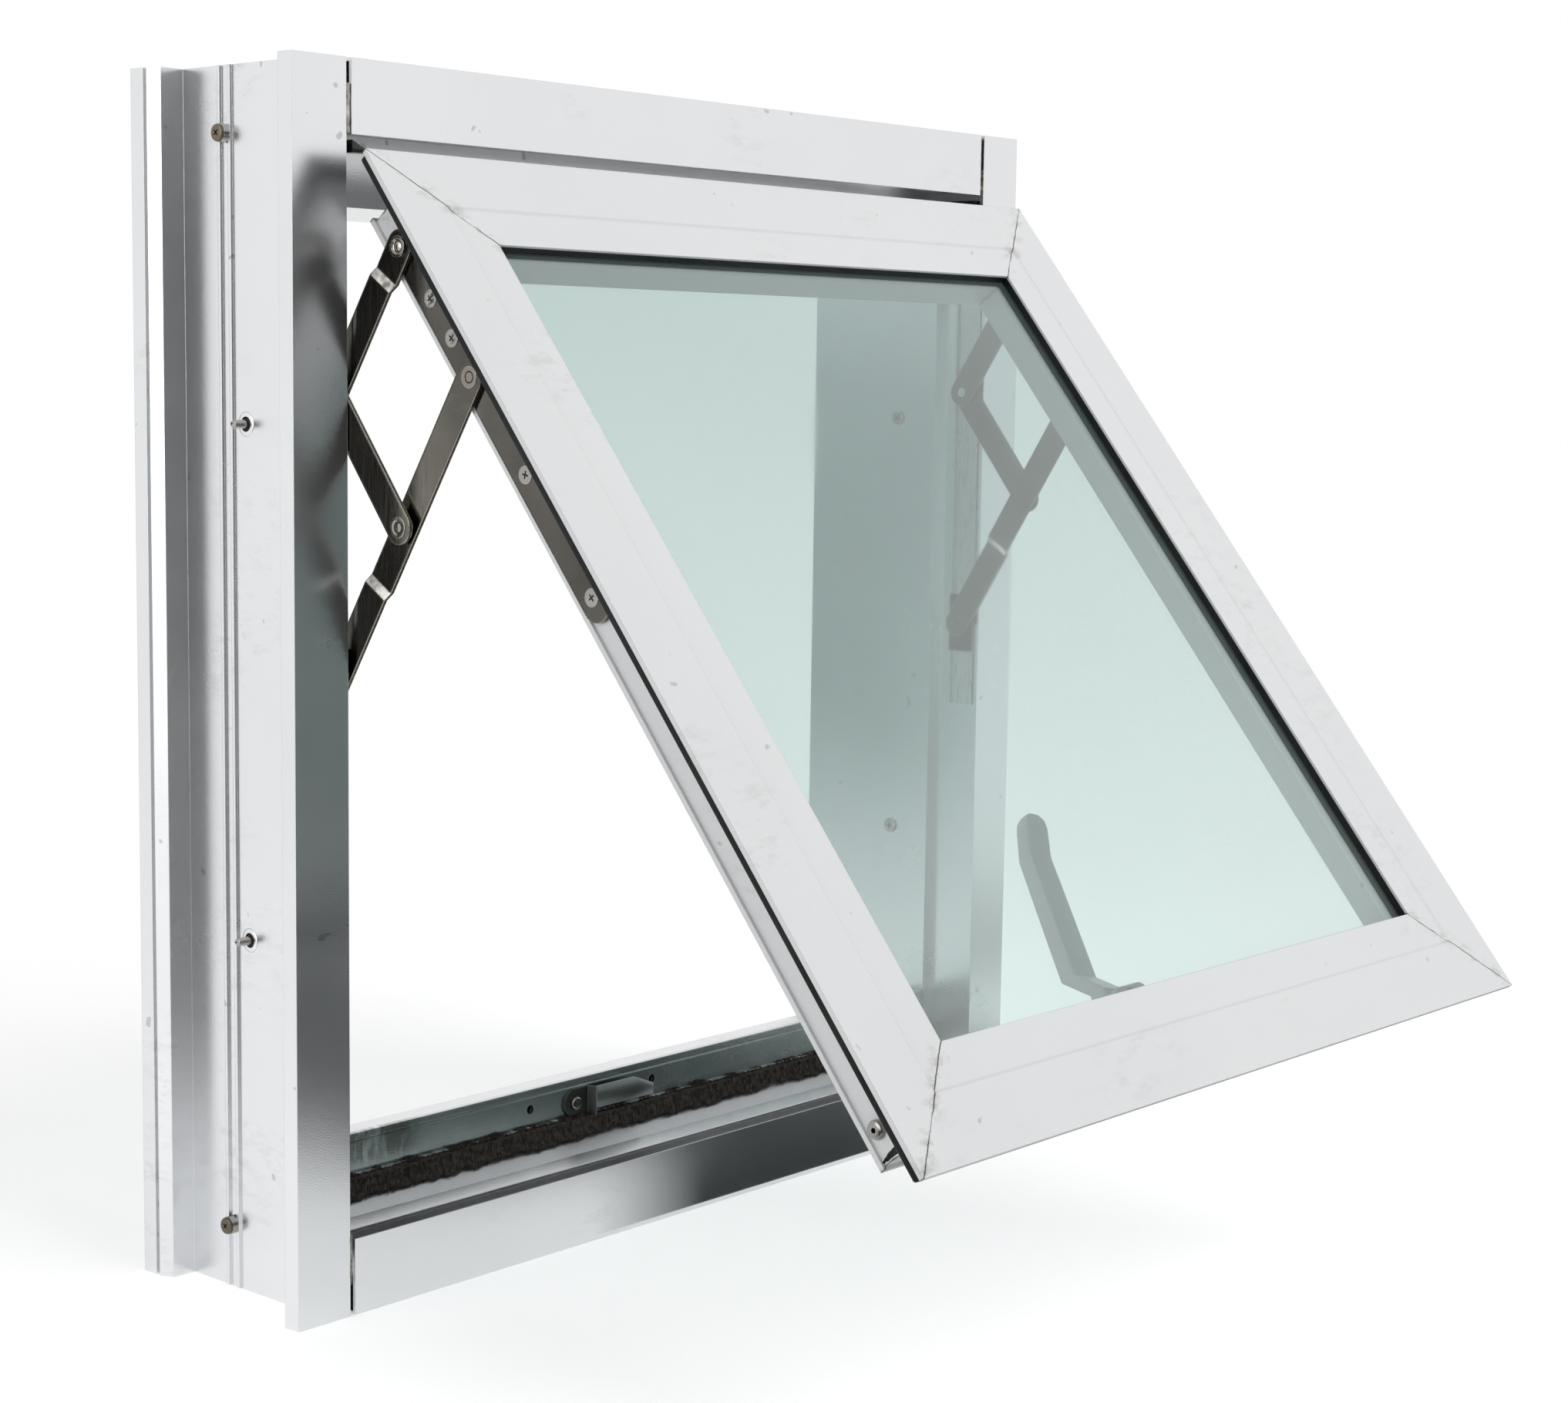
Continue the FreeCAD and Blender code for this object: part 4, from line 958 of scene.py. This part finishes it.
plugLook = dict(size=(0.0105, 0.0060, 0.0062), at=(-0.2330, -0.1255, 0.5200), tip=(1, 0.7, 0.25), droop=0.35,
                round=0.0007)
plug = addBlock(plugLook["size"])
editPicked(plug, "FACE", lambda at, normal: normal.x > squareOn)
bpy.ops.transform.resize(value=plugLook["tip"])
bpy.ops.transform.translate(value=(0, 0, -plugLook["size"][2] * plugLook["droop"]))
bpy.ops.mesh.select_all(action="SELECT")
bpy.ops.mesh.bevel(offset=plugLook["round"], segments=2)
leaveEdit()
dress(plug, 40, blackPlastic)
setDown(plug, "leftCornerPlug", "frame", Matrix.Translation(plugLook["at"]))
putAway(plug)

# the nick is a flat near-black sheet on the sash side wall: painted shade of a chip in the end
nickLook = dict(wall=-0.2332, low=0.0180, tall=0.0052, front=0.0120, back=0.0300, tip=0.12, droop=0.4, cuts=14,
                ragged=0.0006, proud=0.00025, seed=4)
nick = addSheet(nickLook["back"] - nickLook["front"], nickLook["tall"])
editPicked(nick, "VERT", lambda at: at.x > 0)
bpy.ops.transform.resize(value=(1, nickLook["tip"], 1))
bpy.ops.transform.translate(value=(0, -nickLook["tall"] * nickLook["droop"], 0))
bpy.ops.mesh.select_all(action="SELECT")
roughen(nickLook["cuts"], nickLook["ragged"], nickLook["seed"])
bpy.ops.transform.resize(value=(1, 1, 0))    # flat again after the shake
leaveEdit()
raised = nick.modifiers.new("raised", "SOLIDIFY")
raised.thickness = nickLook["proud"]
applyAll(nick)
nick.data.materials.append(paintedRecessShade)
middle = onSash(nickLook["wall"], nickLook["low"] + nickLook["tall"] / 2,
                (nickLook["front"] + nickLook["back"]) / 2)
setDown(nick, "leftSashNick", "sash",
        layAlong(sash["inward"], sash["up"], Vector((-1, 0, 0)), middle))
putAway(nick)
print("gasket, plug and nick placed")


# handle lever and the pad it turns on

def modelLever(look):
    # a cranked grip drawn out section by section, with a raised ridge, a round hub and a flat tongue
    grip = addBlock((look["hub"] * look["block"], look["width"], look["thick"]),
                    (0, 0, look["foot"] + look["thick"] / 2))
    editPicked(grip, "FACE", lambda at, normal: normal.x > squareOn)
    reached = look["hub"] * look["block"] / 2
    for along, lift, wide, deep in look["sections"]:
        bpy.ops.mesh.extrude_region_move(TRANSFORM_OT_translate={"value": (along - reached, 0, lift)})
        bpy.ops.transform.resize(value=(1, wide, deep))
        reached = along
    leaveEdit()
    editPicked(grip, "FACE", lambda at, normal: normal.z > squareOn and at.x > look["ridgeFrom"])
    bpy.ops.mesh.inset(thickness=look["width"] * look["ridgeIn"])
    bpy.ops.transform.translate(value=(0, 0, look["ridge"]))
    leaveEdit()
    roundCorners(grip, look["round"], 3, 50)
    hub = addRound(48, look["hub"], look["hubTall"], (0, 0, look["foot"] + look["hubTall"] / 2))
    roundRim(hub, look["foot"] + look["hubTall"], look["round"], 3)
    spindle = addRound(32, look["spindle"], look["spindleTall"],
                       (0, 0, look["foot"] - look["spindleTall"] / 2 + look["spindleIn"]))
    editPicked(spindle, "FACE", lambda at, normal: normal.z < -squareOn)
    bpy.ops.transform.resize(value=(look["spindleTip"], look["spindleTip"], 1))
    leaveEdit()
    wide, long, thick = look["tongue"]
    tongue = addBlock(look["tongue"], (0, long / 2, look["seat"] + thick / 2))
    editPicked(tongue, "EDGE", lambda a, b: min(a.y, b.y) > long * 0.9 and abs(a.z - b.z) > 0.001)
    bpy.ops.mesh.bevel(offset=wide * look["tongueRound"], segments=5)
    leaveEdit()
    for extra in (hub, spindle, tongue):
        combine(grip, extra, "UNION")
    putAway(hub, spindle, tongue)
    return dress(grip, 35, handleMetal)


# each section says how far along it is, how far it lifts, and how its width and thickness change
leverLook = dict(hub=0.0086, hubTall=0.0096, block=1.4, seat=0.0383, foot=0.0403, width=0.0176, thick=0.0092,
                 sections=((0.009, 0, 0.97, 1), (0.024, 0.014, 0.97, 1), (0.040, 0, 1.0, 0.98),
                           (0.075, 0, 0.97, 0.97), (0.092, 0, 0.98, 0.97), (0.1065, -0.0045, 0.97, 0.97),
                           (0.1105, -0.0008, 0.866, 0.95), (0.1133, -0.0004, 0.62, 0.85),
                           (0.1144, 0, 0.5, 0.7)),
                 round=0.0018, ridgeFrom=0.030, ridge=0.0009, ridgeIn=0.26, spindle=0.0044, spindleTall=0.0082,
                 spindleIn=0.0005, spindleTip=0.9, tongue=(0.0098, 0.0288, 0.0019), tongueRound=0.4,
                 lean=math.radians(16), at=(-0.020, 0.058))
grip = modelLever(leverLook)
tilt = leverLook["lean"]
along = Vector((math.sin(tilt), 0, 0)) + sash["up"] * math.cos(tilt)
across = Vector((math.cos(tilt), 0, 0)) - sash["up"] * math.sin(tilt)
lever = setDown(grip, "handleGrip", "handle",
                layAlong(along, across, sash["inward"], onSash(*leverLook["at"], 0)))
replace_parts(lever, "handle_lever")
putAway(grip)


def modelHandleBase(look):
    # a low pad with round corners and a bore for the spindle
    base = addBlock((look["tall"], look["wide"], look["back"] - look["front"]),
                    (0, 0, (look["front"] + look["back"]) / 2))
    editPicked(base, "EDGE", lambda a, b: abs(a.z - b.z) > 0.001)
    bpy.ops.mesh.bevel(offset=look["corner"], segments=6)
    leaveEdit()
    roundRim(base, look["back"], look["round"], 3)
    bore = addRound(48, look["bore"], look["boreDeep"], (look["boreUp"], 0, look["back"]))
    combine(base, bore, "DIFFERENCE")
    putAway(bore)
    return dress(base, 35, handleMetal)


baseLook = dict(tall=0.021, wide=0.026, front=0.0315, back=0.0379, corner=0.005, round=0.0012, bore=0.0047,
                boreDeep=0.03, boreUp=0.0045, up=0.0535)
pad = modelHandleBase(baseLook)
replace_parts(setDown(pad, "handlePad", "sash",
                    layAlong(sash["up"], Vector((1, 0, 0)), sash["inward"],
                             onSash(leverLook["at"][0], baseLook["up"], 0))), "handle_base")
putAway(pad)
print("handle lever fitted")


# keeper on the sill

def modelKeeperPlate(look):
    # a flat plate, round at its free end, that steps out to carry the bridge
    plate = addBlock((look["foot"], look["tall"], look["plate"]), (look["foot"] / 2, 0, look["plate"] / 2))
    editPicked(plate, "FACE", lambda at, normal: normal.x > squareOn)
    bpy.ops.mesh.extrude_region_move(TRANSFORM_OT_translate={"value": (look["step"], 0, look["stand"])})
    leaveEdit()
    editPicked(plate, "EDGE", lambda a, b: a.x < hair and b.x < hair and abs(a.z - b.z) > 0.0005)
    bpy.ops.mesh.bevel(offset=look["tall"] * look["endRound"], segments=10)
    leaveEdit()
    # painted shadow: the plate wears the near-black copy of the keeper metal
    return dress(plate, 35, shadedKeeperMetal)


def modelKeeperBridge(look):
    # the strip the tongue hooks behind, cut to a taper at its end
    bridge = addBlock((look["bridge"], look["narrow"], look["plate"]),
                      (look["foot"] + look["step"] + look["bridge"] / 2, (look["tall"] - look["narrow"]) / 2,
                       look["stand"] + look["plate"] / 2))
    editPicked(bridge, "FACE", lambda at, normal: normal.x > squareOn)
    bpy.ops.mesh.extrude_region_move(TRANSFORM_OT_translate={"value": (look["taper"], 0, 0)})
    bpy.ops.transform.resize(value=(1, look["tip"], 1))
    bpy.ops.transform.translate(value=(0, -look["narrow"] * (1 - look["tip"]) / 2, 0))
    leaveEdit()
    roundCorners(bridge, look["round"], 2)
    # painted reflection: the bridge wears the lighter teal copy of the keeper metal
    return dress(bridge, 35, litBridgeMetal)


keeperLook = dict(foot=0.0175, step=0.0022, bridge=0.0293, taper=0.0150, tip=0.5, tall=0.016, narrow=0.0122,
                  plate=0.0015, stand=0.0049, endRound=0.49, round=0.0003)
lowCorner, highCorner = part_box("keeper")
onUpstand = (Matrix.Translation((lowCorner.x, highCorner.y, (lowCorner.z + highCorner.z) / 2))
             @ Matrix.Rotation(math.radians(90), 4, "X"))
plate, bridge = modelKeeperPlate(keeperLook), modelKeeperBridge(keeperLook)
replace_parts(setDown(plate, "keeperPlate", "frame", onUpstand), "keeper")
setDown(bridge, "keeperBridge", "frame", onUpstand)
putAway(plate, bridge)
print("keeper screwed to the sill")
